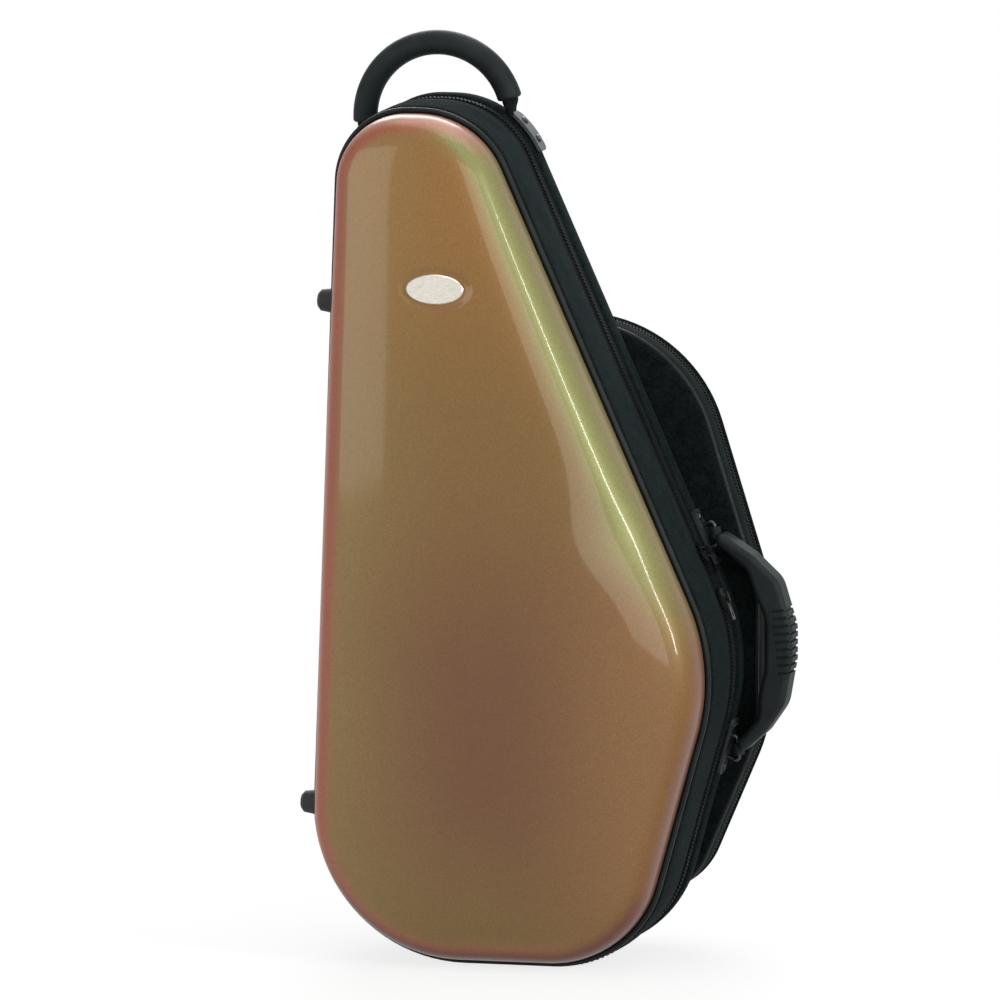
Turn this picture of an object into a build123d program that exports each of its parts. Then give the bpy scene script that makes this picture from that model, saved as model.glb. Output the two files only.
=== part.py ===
from build123d import *
import os
from math import atan2, cos, degrees, radians, sin, sqrt, tan

# Contoured case for an alto saxophone, standing upright. Millimetres and degrees, +Z up.
# The moulded shell faces -Y, the bell side with the side handle faces +X, the pocket faces +Y.
# The origin is the middle of the flat that the case stands on.

# Outline of the moulded shell, seen from the front.
shell_height = 657.5
left_lean = 2.1
base_left = 160.0
base_right = 96.5
bell_reach = 161.3
bell_rise = 233.7
top_right_reach = 27.6
toe_radius = 116.0
crown_left_radius = 55.0
crown_right_radius = 70.0
bell_radius = 150.0
heel_radius = 85.0

# Depths, from the shell's rim back.
rim_to_back = 118.0
rim_to_seam = 80.0
shell_depth = 52.0
piping_width = 5.0
tape_width = 14.5
seam_gap = 0.4

# Walls and clearances.
body_proud = 4.5
padded_wall = 5.0
soft_gap = 0.3
pin_clearance = 0.08
overrun = 20.0

rim_y = -rim_to_back / 2
back_y = rim_to_back / 2
seam_y = rim_y + rim_to_seam
gusset_start = rim_y + piping_width
gusset_end = seam_y - tape_width
tray_start = seam_y + tape_width

parts = {}


# Helpers

def slab(face, start, end):
    # an outline drawn in X and Z, made solid between two depths
    return extrude(Plane.XZ.offset(-end) * face, amount=end - start)


def closed_face(points, radii):
    return make_face(FilletPolyline(*points, radius=radii, close=True))


def ring(outer, inner, start, end):
    return slab(outer, start, end) - slab(inner, start, end)


def span(low, high):
    # a block between two corners
    size = [b - a for a, b in zip(low, high)]
    middle = [(a + b) / 2 for a, b in zip(low, high)]
    return Pos(*middle) * Box(*size)


def wall_plane(start, end):
    # X runs along the wall, Y is depth and Z points out of the case
    run, rise = end[0] - start[0], end[1] - start[1]
    return Plane(origin=(start[0], 0, start[1]), x_dir=(run, 0, rise), z_dir=(-rise, 0, run))


def along(wall, height):
    return (height - wall.origin.Z) / wall.x_dir.Z


def bearing(wall):
    return degrees(atan2(wall.z_dir.Z, wall.z_dir.X))


def radial(angle):
    return Vector(cos(radians(angle)), 0, sin(radians(angle)))


def on_arc(centre, radius, angle):
    # a wall plane at one bearing of a rounded corner
    out = radial(angle)
    return Plane(origin=centre + out * radius, x_dir=(out.Z, 0, -out.X), z_dir=out)


def bent_band(centre, inner, outer, near, far, high_angle, low_angle):
    # a band that follows a rounded corner clockwise from one bearing to another
    out = radial(high_angle)
    frame = Plane(origin=centre, x_dir=out, z_dir=(-out.Z, 0, out.X))
    section = Pos((inner + outer) / 2, (near + far) / 2) * Rectangle(outer - inner, far - near)
    return revolve(frame * section, Axis(centre, (0, 1, 0)), revolution_arc=high_angle - low_angle)


def soften(part, faces, radius):
    edges = ShapeList()
    for face in faces:
        edges += face.edges()
    return fillet(edges, radius)


def crown_block(apex, across, along_radius, centre_x, centre_z, reach):
    # everything behind a gently domed front, apex towards -Y
    hub = apex + across
    sag = along_radius - sqrt(along_radius ** 2 - reach ** 2)
    dome = ThreePointArc((apex + sag, -reach), (apex, 0), (apex + sag, reach))
    back = Polyline((apex + sag, reach), (hub, reach), (hub, -reach), (apex + sag, -reach))
    side = Plane(origin=(centre_x, 0, centre_z), x_dir=(0, 1, 0), z_dir=(1, 0, 0))
    profile = side * make_face([dome, back])
    axis = Axis((centre_x, hub, 0), (0, 0, 1))
    return revolve(profile, axis, revolution_arc=crown_sweep).rotate(axis, -crown_sweep / 2)


# Outline and walls

low = body_proud
high = body_proud + shell_height
toe = (-base_left, low)
crown_left = (-base_left + shell_height * tan(radians(left_lean)), high)
crown_right = (-top_right_reach, high)
bell = (bell_reach, low + bell_rise)
heel = (base_right, low)
corners = [toe, crown_left, crown_right, bell, heel]
corner_radii = [toe_radius, crown_left_radius, crown_right_radius, bell_radius, heel_radius]
shell_face = closed_face(corners, corner_radii)

left_wall = wall_plane(toe, crown_left)
top_wall = wall_plane(crown_left, crown_right)
diagonal = wall_plane(crown_right, bell)
bell_wall = wall_plane(bell, heel)


def outline(grow):
    return offset(shell_face, amount=grow)


def tangent_length(before, after, radius):
    turn = bearing(before) - bearing(after)
    return radius * tan(radians(turn % 360) / 2)


def arc_centre(before, after, radius):
    return after.origin - before.x_dir * tangent_length(before, after, radius) - before.z_dir * radius


crown_right_centre = arc_centre(top_wall, diagonal, crown_right_radius)
bell_centre = arc_centre(diagonal, bell_wall, bell_radius)


# Moulded front shell, the domed piece with wide rounded shoulders, and its plush lining

shell_wall = 3.0
shoulder_radius = 34.0
crown_across = 1400.0
crown_along = 3600.0
crown_sweep = 30.0
crown_centre_share = 0.45
crown_side_share = -0.06
lining_thickness = 2.0

crown_x = crown_side_share * base_left
crown_z = low + crown_centre_share * shell_height
front_y = rim_y - shell_depth


def moulding(inset):
    prism = slab(outline(-inset), front_y - overrun, rim_y)
    dome = crown_block(front_y + inset, crown_across - inset, crown_along - inset, crown_x,
                       crown_z, shell_height)
    body = prism & dome
    front = body.faces().sort_by(Axis.Y)[0]
    return soften(body, [front], shoulder_radius - inset)


def front_surface(x, z):
    # depth and outward plane of the domed front at one place
    hub = front_y + crown_across
    reach = crown_across - crown_along + sqrt(crown_along ** 2 - (z - crown_z) ** 2)
    y = hub - sqrt(reach ** 2 - (x - crown_x) ** 2)
    slope_x = (x - crown_x) / (hub - y)
    slope_z = (z - crown_z) / crown_along
    return Plane(origin=(x, y, z), x_dir=(1, slope_x, 0), z_dir=(slope_x, -1, slope_z))


badge_width = 46.0
badge_height = 23.4
badge_thickness = 2.2
badge_edge = 0.9
badge_fit = 0.4
dish_width = 60.0
dish_height = 34.0
dish_depth = 1.6
badge_left_share = 0.319
badge_drop_share = 0.199

badge_seat = front_surface(-badge_left_share * base_left, high - badge_drop_share * shell_height)
seat_face = Ellipse(badge_width / 2 + badge_fit, badge_height / 2 + badge_fit)
mouth_face = Ellipse(dish_width / 2, dish_height / 2)
dish = loft([badge_seat.offset(-dish_depth) * seat_face, badge_seat * mouth_face])
dish_top = extrude(badge_seat * mouth_face, amount=dish_depth)

shell_outer = moulding(0)
parts["front_shell"] = shell_outer - moulding(shell_wall) - dish - dish_top

badge_face = Ellipse(badge_width / 2, badge_height / 2)
badge = extrude(badge_seat.offset(-dish_depth) * badge_face, amount=badge_thickness)
badge_front = badge.faces().sort_by(Axis.Y)[0]
parts["badge_plate"] = chamfer(badge_front.edges(), badge_edge)

lining_outer = moulding(shell_wall + soft_gap)
parts["lid_lining"] = lining_outer - moulding(shell_wall + soft_gap + lining_thickness)


# Piping round the shell's rim

piping_round = 2.3

bead = slab(outline(body_proud), rim_y, gusset_start)
bead_ends = bead.faces().sort_by(Axis.Y)
bead = soften(bead, [bead_ends[0], bead_ends[-1]], piping_round)
parts["shell_piping"] = bead - slab(outline(-shell_wall), rim_y - overrun, gusset_start + overrun)


# Padded fabric side wall of the lid

seam_front_round = 1.2
seam_back_round = 2.0
wall_inset = padded_wall - body_proud


def padded_band(start, end, front_round, back_round):
    block = slab(outline(body_proud), start, end)
    block = soften(block, [block.faces().sort_by(Axis.Y)[0]], front_round)
    return soften(block, [block.faces().sort_by(Axis.Y)[-1]], back_round)


gusset_block = padded_band(gusset_start, gusset_end, seam_front_round, seam_back_round)
parts["lid_gusset"] = gusset_block - slab(outline(-wall_inset), rim_y, tray_start)


# Rear tray: side wall and back in one piece

back_thickness = 5.0
back_round = 5.0

tray_block = padded_band(tray_start, back_y, seam_back_round, back_round)
parts["tray_shell"] = tray_block - slab(outline(-wall_inset), tray_start, back_y - back_thickness)


# Zip: a tape and a row of teeth on each side of the seam

zip_recess = 2.0
tape_thickness = 2.0
teeth_width = 3.5
teeth_proud = 1.7


def tape(grown, surface, start, end):
    top = surface - zip_recess
    return ring(grown(top), grown(top - tape_thickness), start, end)


def teeth(grown, surface, start, end):
    base = surface - zip_recess
    return ring(grown(base + teeth_proud), grown(base), start, end)


lid_edge = seam_y - seam_gap / 2
tray_edge = seam_y + seam_gap / 2
parts["lid_zip_tape"] = tape(outline, body_proud, gusset_end, lid_edge)
parts["tray_zip_tape"] = tape(outline, body_proud, tray_edge, tray_start)

# The zip stops where the fabric hinge strip begins, on the straight left wall.
strip_low_share = 0.207
strip_high_share = 0.845
strip_overlap = 1.5
strip_thickness = 1.5
stop_length = 7.0

strip_start = along(left_wall, low + strip_low_share * shell_height)
strip_end = along(left_wall, low + strip_high_share * shell_height)
strip_half = tape_width + strip_overlap


def wall_block(wall, start, end, near, far, inner, outer):
    return wall * span((start, near, inner), (end, far, outer))


hinge_zone = wall_block(left_wall, strip_start - stop_length, strip_end + stop_length,
                        seam_y - tape_width, seam_y + tape_width, -overrun, overrun)
parts["lid_zip_teeth"] = teeth(outline, body_proud, lid_edge - teeth_width, lid_edge) - hinge_zone
parts["tray_zip_teeth"] = teeth(outline, body_proud, tray_edge, tray_edge + teeth_width) - hinge_zone
strip_top = body_proud + strip_thickness
parts["lid_hinge_strip"] = wall_block(left_wall, strip_start, strip_end, seam_y - strip_half,
                                      lid_edge, body_proud, strip_top)
parts["tray_hinge_strip"] = wall_block(left_wall, strip_start, strip_end, tray_edge,
                                       seam_y + strip_half, body_proud, strip_top)

# End stops where the two rows of teeth begin.
stop_half = 5.0
stop_base = body_proud - zip_recess


def end_stop(start):
    return wall_block(left_wall, start + soft_gap, start + stop_length - soft_gap, tray_edge,
                      tray_edge + stop_half, stop_base, body_proud)


parts["zip_end_stops"] = Compound([end_stop(strip_start - stop_length), end_stop(strip_end)])


# Rubber feet on the left wall, two on the lid and two on the tray

foot_height = 14.0
foot_base_radius = 10.0
foot_tip_radius = 8.0
foot_round = 2.5
foot_well_radius = 3.6
foot_well_depth = 5.0
foot_low_share = 0.174
foot_high_share = 0.772
lid_foot_inset = 20.0
tray_foot_inset = 11.0
screw_head_radius = 3.2
screw_head_height = 2.2

foot_low = low + foot_low_share * shell_height
foot_high = low + foot_high_share * shell_height
lid_foot_y = rim_y + lid_foot_inset
tray_foot_y = back_y - tray_foot_inset


def foot(height, depth):
    place = left_wall * Pos(along(left_wall, height), depth, body_proud)
    rise = foot_height + padded_wall
    slope = (foot_base_radius - foot_tip_radius) / foot_height
    root = foot_base_radius + slope * padded_wall
    body = Pos(0, 0, foot_height - rise / 2) * Cone(root, foot_tip_radius, rise)
    tip = body.faces().sort_by(Axis.Z)[-1]
    body = chamfer(tip.edges(), foot_round)
    well = Pos(0, 0, foot_height - foot_well_depth / 2) * Cylinder(foot_well_radius, foot_well_depth)
    return place * (body - well) - gusset_block - tray_block


def foot_screw(height, depth):
    place = left_wall * Pos(along(left_wall, height), depth, body_proud + foot_height - foot_well_depth)
    return place * Pos(0, 0, screw_head_height / 2) * Cylinder(screw_head_radius, screw_head_height)


for side, depth in (("lid", lid_foot_y), ("tray", tray_foot_y)):
    parts[f"{side}_lower_foot"] = foot(foot_low, depth)
    parts[f"{side}_upper_foot"] = foot(foot_high, depth)
    parts[f"{side}_foot_screws"] = Compound([foot_screw(foot_low, depth), foot_screw(foot_high, depth)])


# Foam cradle in the tray: glued blocks round a hollow cut to the instrument

foam_gap = 0.8
foam_base = 8.0
foam_below_seam = 2.0
# Places of the hollow's corners as shares of the left reach and of the height, with their radii.
horn_shares = [
    (-0.6125, 0.933, 0.075), (-0.275, 0.933, 0.075), (-0.275, 0.883, 0.0625),
    (-0.05, 0.845, 0.125), (-0.075, 0.483, 0.0875), (0.70, 0.483, 0.0875),
    (0.756, 0.449, 0.0625), (0.5875, 0.282, 0.375), (0.525, 0.030, 0.475),
    (-0.7375, 0.030, 0.53), (-0.65, 0.852, 0.125),
]
island_shares = [
    (-0.0875, 0.434, 0.05), (0.0125, 0.434, 0.05), (0.1625, 0.259, 0.125),
    (0.125, 0.163, 0.0875), (-0.1, 0.163, 0.0875),
]
neck_well_shares = [
    (0.0375, 0.516, 0.0625), (0.5875, 0.516, 0.0625), (0.125, 0.753, 0.05), (0.0375, 0.753, 0.04),
]
top_cut_share = 0.86
bell_cut_share = 0.466
bow_cut_share = 0.107
channel_share = -0.375


def share_face(shares):
    points = [(x * base_left, low + z * shell_height) for x, z, r in shares]
    return closed_face(points, [r * base_left for x, z, r in shares])


foam_start = seam_y - foam_below_seam
foam_floor = back_y - back_thickness - foam_base
foam_back = back_y - back_thickness
foam = slab(outline(-foam_gap), foam_start, foam_floor)
foam -= slab(share_face(horn_shares), foam_start, foam_floor)
foam -= slab(share_face(neck_well_shares), foam_start, foam_floor)
top_cut = low + top_cut_share * shell_height
bell_cut = low + bell_cut_share * shell_height
bow_cut = low + bow_cut_share * shell_height
channel_x = channel_share * base_left
far_left = -base_left - overrun
far_right = bell_reach + overrun
far_top = high + overrun
far_low = low - overrun


def foam_block(left, bottom, right, top):
    return foam & span((left, foam_start, bottom), (right, foam_floor, top))


parts["foam_top_block"] = foam_block(far_left, top_cut, far_right, far_top)
parts["foam_left_rail"] = foam_block(far_left, bow_cut, channel_x, top_cut)
parts["foam_neck_block"] = foam_block(channel_x, bell_cut, far_right, top_cut)
parts["foam_bell_block"] = foam_block(channel_x, bow_cut, far_right, bell_cut)
parts["foam_bow_block"] = foam_block(far_left, far_low, far_right, bow_cut)
parts["foam_centre_block"] = slab(share_face(island_shares), foam_start, foam_floor)
parts["foam_base"] = slab(outline(-foam_gap), foam_floor, foam_back)

# Strap over the instrument, lying on the foam.
strap_width = 25.0
strap_thickness = 1.5
strap_height_share = 0.723
strap_left_share = 0.8375
strap_right_share = 0.0125
strap_low = low + strap_height_share * shell_height
parts["instrument_strap"] = span((-strap_left_share * base_left, foam_start - strap_thickness, strap_low),
                                 (strap_right_share * base_left, foam_start, strap_low + strap_width))


# Accessory pocket on the back, wider than the body on the bell side

pocket_height_share = 0.6905
pocket_rise = 31.5
pocket_left_low = 140.0
pocket_left_high = 128.0
pocket_shoulder = 101.0
pocket_reach = 165.0
pocket_elbow_high_share = 0.548
pocket_elbow_low_share = 0.291
pocket_right_low = 108.8
pocket_toe_radius = 72.0
pocket_top_left_radius = 55.0
pocket_top_right_radius = 115.0
pocket_elbow_radius = 100.0
pocket_heel_radius = 60.0
pocket_panel_thickness = 2.5
pocket_piping_width = 4.0
pocket_piping_proud = 1.5
pocket_piping_round = 1.8
pocket_wall = 3.0
pocket_to_seam = 37.5
pocket_tape_width = 6.5
flap_depth = 11.0
flap_skin = 3.0
flap_round = 5.0
flap_across = 5400.0
flap_along = 10000.0

pocket_height = pocket_height_share * shell_height
pocket_low = low + pocket_rise
pocket_top = pocket_low + pocket_height
pocket_corners = [
    (-pocket_left_low, pocket_low), (-pocket_left_high, pocket_top), (pocket_shoulder, pocket_top),
    (pocket_reach, pocket_low + pocket_elbow_high_share * pocket_height),
    (pocket_reach, pocket_low + pocket_elbow_low_share * pocket_height),
    (pocket_right_low, pocket_low),
]
pocket_radii = [pocket_toe_radius, pocket_top_left_radius, pocket_top_right_radius,
                pocket_elbow_radius, pocket_elbow_radius, pocket_heel_radius]
pocket_face = closed_face(pocket_corners, pocket_radii)


def pocket_outline(grow):
    return offset(pocket_face, amount=grow)


panel_end = back_y + pocket_panel_thickness
pocket_wall_start = panel_end + pocket_piping_width
pocket_seam = back_y + pocket_to_seam
pocket_wall_end = pocket_seam - pocket_tape_width
flap_start = pocket_seam + pocket_tape_width
flap_end = flap_start + flap_depth
pocket_edge = pocket_seam - seam_gap / 2
flap_edge = pocket_seam + seam_gap / 2

parts["pocket_panel"] = slab(pocket_face, back_y, panel_end)
pocket_bead = slab(pocket_outline(pocket_piping_proud), panel_end, pocket_wall_start)
pocket_bead_ends = pocket_bead.faces().sort_by(Axis.Y)
pocket_bead = soften(pocket_bead, [pocket_bead_ends[0], pocket_bead_ends[-1]], pocket_piping_round)
parts["pocket_piping"] = pocket_bead - slab(pocket_outline(-pocket_wall), back_y, pocket_wall_end)
parts["pocket_wall"] = ring(pocket_face, pocket_outline(-pocket_wall), pocket_wall_start, pocket_wall_end)
parts["pocket_zip_tape"] = tape(pocket_outline, 0, pocket_wall_end, pocket_edge)
parts["flap_zip_tape"] = tape(pocket_outline, 0, flap_edge, flap_start)

# The pocket's zip stops at the flap's fabric hinge, along the straight bottom edge.
bottom_wall = wall_plane(pocket_corners[5], pocket_corners[0])
flap_strip_from = 52.0
flap_strip_to = 170.0
flap_strip_overlap = 2.5
flap_strip_half = pocket_tape_width + flap_strip_overlap
flap_strip_thickness = 1.2

flap_zone = wall_block(bottom_wall, flap_strip_from - stop_length, flap_strip_to + stop_length,
                       pocket_wall_end, flap_start, -overrun, overrun)
parts["pocket_zip_teeth"] = teeth(pocket_outline, 0, pocket_edge - teeth_width, pocket_edge) - flap_zone
parts["flap_zip_teeth"] = teeth(pocket_outline, 0, flap_edge, flap_edge + teeth_width) - flap_zone
parts["pocket_hinge_strip"] = wall_block(bottom_wall, flap_strip_from, flap_strip_to,
                                         pocket_seam - flap_strip_half, pocket_edge, 0, flap_strip_thickness)
parts["flap_hinge_strip"] = wall_block(bottom_wall, flap_strip_from, flap_strip_to,
                                       flap_edge, pocket_seam + flap_strip_half, 0, flap_strip_thickness)

flap_middle_x = (pocket_reach - pocket_left_low) / 2
flap_middle_z = (pocket_low + pocket_top) / 2


def flap_block(inset):
    prism = slab(pocket_outline(-inset), flap_start, flap_end + overrun)
    dome = crown_block(inset - flap_end, flap_across - inset, flap_along - inset, flap_middle_x,
                       flap_middle_z, pocket_height).mirror(Plane.XZ)
    body = prism & dome
    return soften(body, [body.faces().sort_by(Axis.Y)[-1]], flap_round - inset)


parts["pocket_flap"] = flap_block(0) - flap_block(flap_skin)


# Zip sliders with hinged pull tabs; the channel is open on the lid's side

slider_length = 16.0
slider_half = 6.5
slider_plate = 2.0
slider_lip = 2.0
slider_lip_drop = 1.6
slider_corner = 3.0
bridge_length = 9.0
bridge_width = 3.0
bridge_height = 4.0
bridge_skin = 1.3
pull_bar_radius = 0.9
pull_arm = 1.6
pull_arm_length = 5.6
pull_tab_length = 13.0
pull_tab_width = 8.4
pull_tab_thickness = 1.6
pull_round = 2.4
pull_hole_radius = 1.6
pull_slack = 0.3

slider_base = teeth_proud - zip_recess + soft_gap


def slider(frame):
    # frame: X along the zip, Y across it towards the fixed side, Z out of the fabric
    bottom = slider_base
    top = bottom + slider_plate
    plate = span((-slider_length / 2, -slider_half, bottom), (slider_length / 2, slider_half, top))
    plate = fillet(plate.edges().filter_by(Axis.Z), slider_corner)
    lip = span((-slider_length / 2 + slider_corner, slider_half - slider_lip, bottom - slider_lip_drop),
               (slider_length / 2 - slider_corner, slider_half, bottom))
    bridge = span((-bridge_length / 2, -bridge_width / 2, top),
                  (bridge_length / 2, bridge_width / 2, top + bridge_height))
    bridge = fillet(bridge.edges().filter_by(Axis.Y).group_by(Axis.Z)[-1], bridge_skin)
    slot = span((-bridge_length / 2 + bridge_skin, -bridge_width, top),
                (bridge_length / 2 - bridge_skin, bridge_width, top + bridge_height - bridge_skin))
    return frame * (plate + lip + bridge - slot)


def pull_height():
    return slider_base + slider_plate + pull_slack + pull_bar_radius


def pull_tab(frame):
    reach = bridge_width / 2 + pull_slack + pull_arm
    z = pull_height()
    bar = Pos(0, 0, z) * Rot(90, 0, 0) * Cylinder(pull_bar_radius, 2 * reach)
    arms = [span((0, side * reach - pull_arm / 2 - side * pull_arm / 2, z - pull_tab_thickness / 2),
                 (pull_arm_length + pull_arm, side * reach + pull_arm / 2 - side * pull_arm / 2,
                  z + pull_tab_thickness / 2)) for side in (-1, 1)]
    end = pull_arm_length + pull_tab_length
    tab = span((pull_arm_length, -pull_tab_width / 2, z - pull_tab_thickness / 2),
               (end, pull_tab_width / 2, z + pull_tab_thickness / 2))
    tab = fillet(tab.edges().filter_by(Axis.Z), pull_round)
    hole = Pos(end - pull_tab_width / 2, 0, z) * Cylinder(pull_hole_radius, pull_tab_thickness * 2)
    return frame * (bar + arms[0] + arms[1] + tab - hole)


upper_slider_above_bell = 30.0
lower_slider_turn = 3.2
seam_frame = Pos(0, seam_y, body_proud)

bell_tangent = tangent_length(diagonal, bell_wall, bell_radius)
diagonal_length = (bell[1] - crown_right[1]) / diagonal.x_dir.Z
upper_slider_at = diagonal_length - bell_tangent - upper_slider_above_bell
upper_frame = diagonal * Pos(upper_slider_at, 0, 0) * seam_frame
lower_frame = on_arc(bell_centre, bell_radius, bearing(diagonal) - lower_slider_turn) * seam_frame
parts["upper_slider"] = slider(upper_frame)
parts["upper_pull"] = pull_tab(upper_frame)
parts["lower_slider"] = slider(lower_frame)
parts["lower_pull"] = pull_tab(lower_frame)

# The pocket's slider waits low on the hidden left side of the pocket, its tab hanging down.
pocket_slider_rise = 110.0
pocket_left_wall = wall_plane(pocket_corners[1], pocket_corners[0])
pocket_left = Plane(origin=pocket_left_wall.origin, x_dir=pocket_left_wall.x_dir,
                    z_dir=-pocket_left_wall.z_dir)
pocket_slide_at = along(pocket_left, pocket_low + pocket_slider_rise)
pocket_frame = pocket_left * Pos(pocket_slide_at, -pocket_seam, 0)
parts["pocket_slider"] = slider(pocket_frame)
parts["pocket_pull"] = pull_tab(pocket_frame)


# Top handle: a thick tube on a strap, held by riveted plates on the tray's wall

handle_from_back = 13.5
tube_radius = 9.6
tube_round = 2.5
tube_rise = 44.3
tube_apex_in = 52.4
tube_left_out = 8.3
tube_left_drop = 19.0
tube_right_in = 0.8
tube_right_lift = 1.5
web_width = 18.0
web_thickness = 2.0
web_free_thickness = 1.2
web_neck_width = 4.4
web_right_neck = 10.5
web_left_neck = 18.0
web_swing_gap = 6.0
web_tube_gap = 0.5
plate_length = 37.0
plate_width = 19.0
plate_thickness = 2.4
plate_round = 5.0
rivet_radius = 3.2
rivet_height = 1.8
rivet_round = 1.1
rivet_share = 0.27
plate_base = body_proud + web_thickness
handle_y = back_y - handle_from_back

tube_path = ThreePointArc(
    (crown_left[0] - tube_left_out, high - tube_left_drop),
    (crown_left[0] + tube_apex_in, high + tube_rise),
    (crown_right[0] - tube_right_in, high + tube_right_lift))
tube_path = Plane.XZ.offset(-handle_y) * tube_path
tube = sweep(Plane(origin=tube_path @ 0, z_dir=tube_path % 0) * Circle(tube_radius), path=tube_path)
tube_ends = tube.faces().filter_by(GeomType.PLANE)
parts["top_handle_grip"] = soften(tube, tube_ends, tube_round)

near_edge = handle_y - plate_width / 2
far_edge = handle_y + plate_width / 2
plate_span = degrees(plate_length / (crown_right_radius + plate_base))
outer_right = crown_right_radius + plate_base
right_plate_bearing = bearing(diagonal) + plate_span
right_plate = bent_band(crown_right_centre, outer_right, outer_right + plate_thickness, near_edge, far_edge,
                        right_plate_bearing, right_plate_bearing - plate_span)
left_plate_at = along(left_wall, high - crown_left_radius)
left_plate = wall_block(left_wall, left_plate_at - plate_length, left_plate_at, near_edge, far_edge,
                        plate_base, plate_base + plate_thickness)


def round_plate(plate):
    short = plate.edges().filter_by(lambda edge: abs(edge.length - plate_thickness) < soft_gap)
    return fillet(short, plate_round)


def rivet(frame):
    body = Pos(0, 0, rivet_height / 2) * Cylinder(rivet_radius, rivet_height)
    return frame * chamfer(body.faces().sort_by(Axis.Z)[-1].edges(), rivet_round)


right_plate = round_plate(right_plate)
left_plate = round_plate(left_plate)
parts["top_handle_plates"] = Compound([right_plate, left_plate])

rivets = []
for share in (rivet_share, 1 - rivet_share):
    turn = right_plate_bearing - share * plate_span
    frame = on_arc(crown_right_centre, outer_right + plate_thickness, turn) * Pos(0, handle_y, 0)
    rivets.append(rivet(frame) - right_plate)
    at = left_plate_at - share * plate_length
    rivets.append(rivet(left_wall * Pos(at, handle_y, plate_base + plate_thickness)))
parts["top_handle_rivets"] = Compound(rivets)

# Webbing under the plates, fixed, and its free stretches up to the tube.
web_near = handle_y - web_width / 2
web_far = handle_y + web_width / 2
tail_right = bent_band(crown_right_centre, crown_right_radius + body_proud, outer_right, web_near, web_far,
                       right_plate_bearing, right_plate_bearing - plate_span)
tail_left = wall_block(left_wall, left_plate_at - plate_length, left_plate_at, web_near, web_far,
                       body_proud, plate_base)
parts["top_handle_tails"] = Compound([tail_right, tail_left])

web_middle = body_proud + web_thickness / 2
handle_level = Vector(0, handle_y, 0)
right_pivot = crown_right_centre + radial(right_plate_bearing) * (crown_right_radius + web_middle)
right_pivot += handle_level
left_pivot = left_wall.origin + left_wall.x_dir * left_plate_at + left_wall.z_dir * web_middle + handle_level


def web_run(start, end, neck_length):
    # the free stretch of webbing from the tube to its plate, necked where it twists
    run = end - start
    frame = Plane(origin=start, x_dir=run, z_dir=(-run.Z, 0, run.X))
    wide, narrow = web_width / 2, web_neck_width / 2
    neck_start, neck_end = run.length - neck_length, run.length - web_swing_gap
    shape = Polyline((web_tube_gap, -wide), (neck_start, -wide), (neck_end, -narrow), (neck_end, narrow),
                     (neck_start, wide), (web_tube_gap, wide), close=True)
    return extrude(frame.offset(-web_free_thickness / 2) * make_face(shape), amount=web_free_thickness)


right_web = web_run(tube_path @ 1, right_pivot, web_right_neck)
left_web = web_run(tube_path @ 0, left_pivot, web_left_neck)
parts["top_handle_webbing"] = Compound([right_web, left_web])


# Side handle: a moulded ribbed grip on two wire staples

staple_radius = 1.75
grip_width = 26.0
grip_round = 4.6
grip_reach = 60.0
eye_height = 9.0
eye_radius = 4.6
hinge_high_out = 9.0
hinge_low_out = 9.5
hinge_above_bell = 93.4
hinge_below_bell = 77.3
# Corners of the grip as shares: out from the hinge line over its reach, down it over its span.
grip_outer_shares = [
    (0.03, -0.03, 0.08), (0.509, 0.111, 0.25), (0.814, 0.236, 0.35), (0.932, 0.456, 0.5),
    (0.885, 0.608, 0.5), (0.72, 0.809, 0.4), (0.442, 0.923, 0.25), (0.03, 1.03, 0.08),
]
grip_inner_shares = [
    (0.03, 0.96, 0.08), (0.344, 0.86, 0.2), (0.387, 0.749, 0.35), (0.501, 0.635, 0.5),
    (0.573, 0.401, 0.5), (0.472, 0.285, 0.35), (0.403, 0.181, 0.2), (0.03, 0.045, 0.08),
]
rib_count = 9
rib_pitch = 6.1
rib_width = 2.2
rib_depth = 2.0
rib_middle_share = 0.515
rib_start_share = 0.69


upper_eye = (bell_wall.origin - diagonal.x_dir * hinge_above_bell
             + diagonal.z_dir * (body_proud + hinge_high_out))
lower_eye = (bell_wall.origin + bell_wall.x_dir * hinge_below_bell
             + bell_wall.z_dir * (body_proud + hinge_low_out))
hinge_run = lower_eye - upper_eye
# X runs down the hinge line, Y is depth and Z points away from the case.
grip_frame = Plane(origin=(upper_eye.X, handle_y, upper_eye.Z), x_dir=hinge_run,
                   z_dir=(-hinge_run.Z, 0, hinge_run.X))
hinge_length = hinge_run.length


def grip_face(shares):
    points = [(down * hinge_length, out * grip_reach) for out, down, r in shares]
    return closed_face(points, [r * grip_reach for out, down, r in shares])


def in_grip_plane(face, half):
    # a face drawn as down and out, thickened both ways across the depth
    flat = Plane(origin=grip_frame.origin, x_dir=grip_frame.x_dir, z_dir=-grip_frame.y_dir)
    return extrude(flat * face, amount=half, both=True)


handle_face = grip_face(grip_outer_shares + grip_inner_shares)
grip = in_grip_plane(handle_face, grip_width / 2)
flanks = [face for face in grip.faces().filter_by(GeomType.PLANE)
          if abs(abs(face.normal_at().Y) - 1) < soft_gap]
grip = soften(grip, flanks, grip_round)
core = in_grip_plane(offset(handle_face, amount=-rib_depth), grip_width / 2 - rib_depth)
for index in range(rib_count):
    at = rib_middle_share * hinge_length + (index - (rib_count - 1) / 2) * rib_pitch
    slot = grip_frame * span((at - rib_width / 2, -grip_width, rib_start_share * grip_reach),
                             (at + rib_width / 2, grip_width, grip_reach + overrun))
    grip -= slot - core

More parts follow.
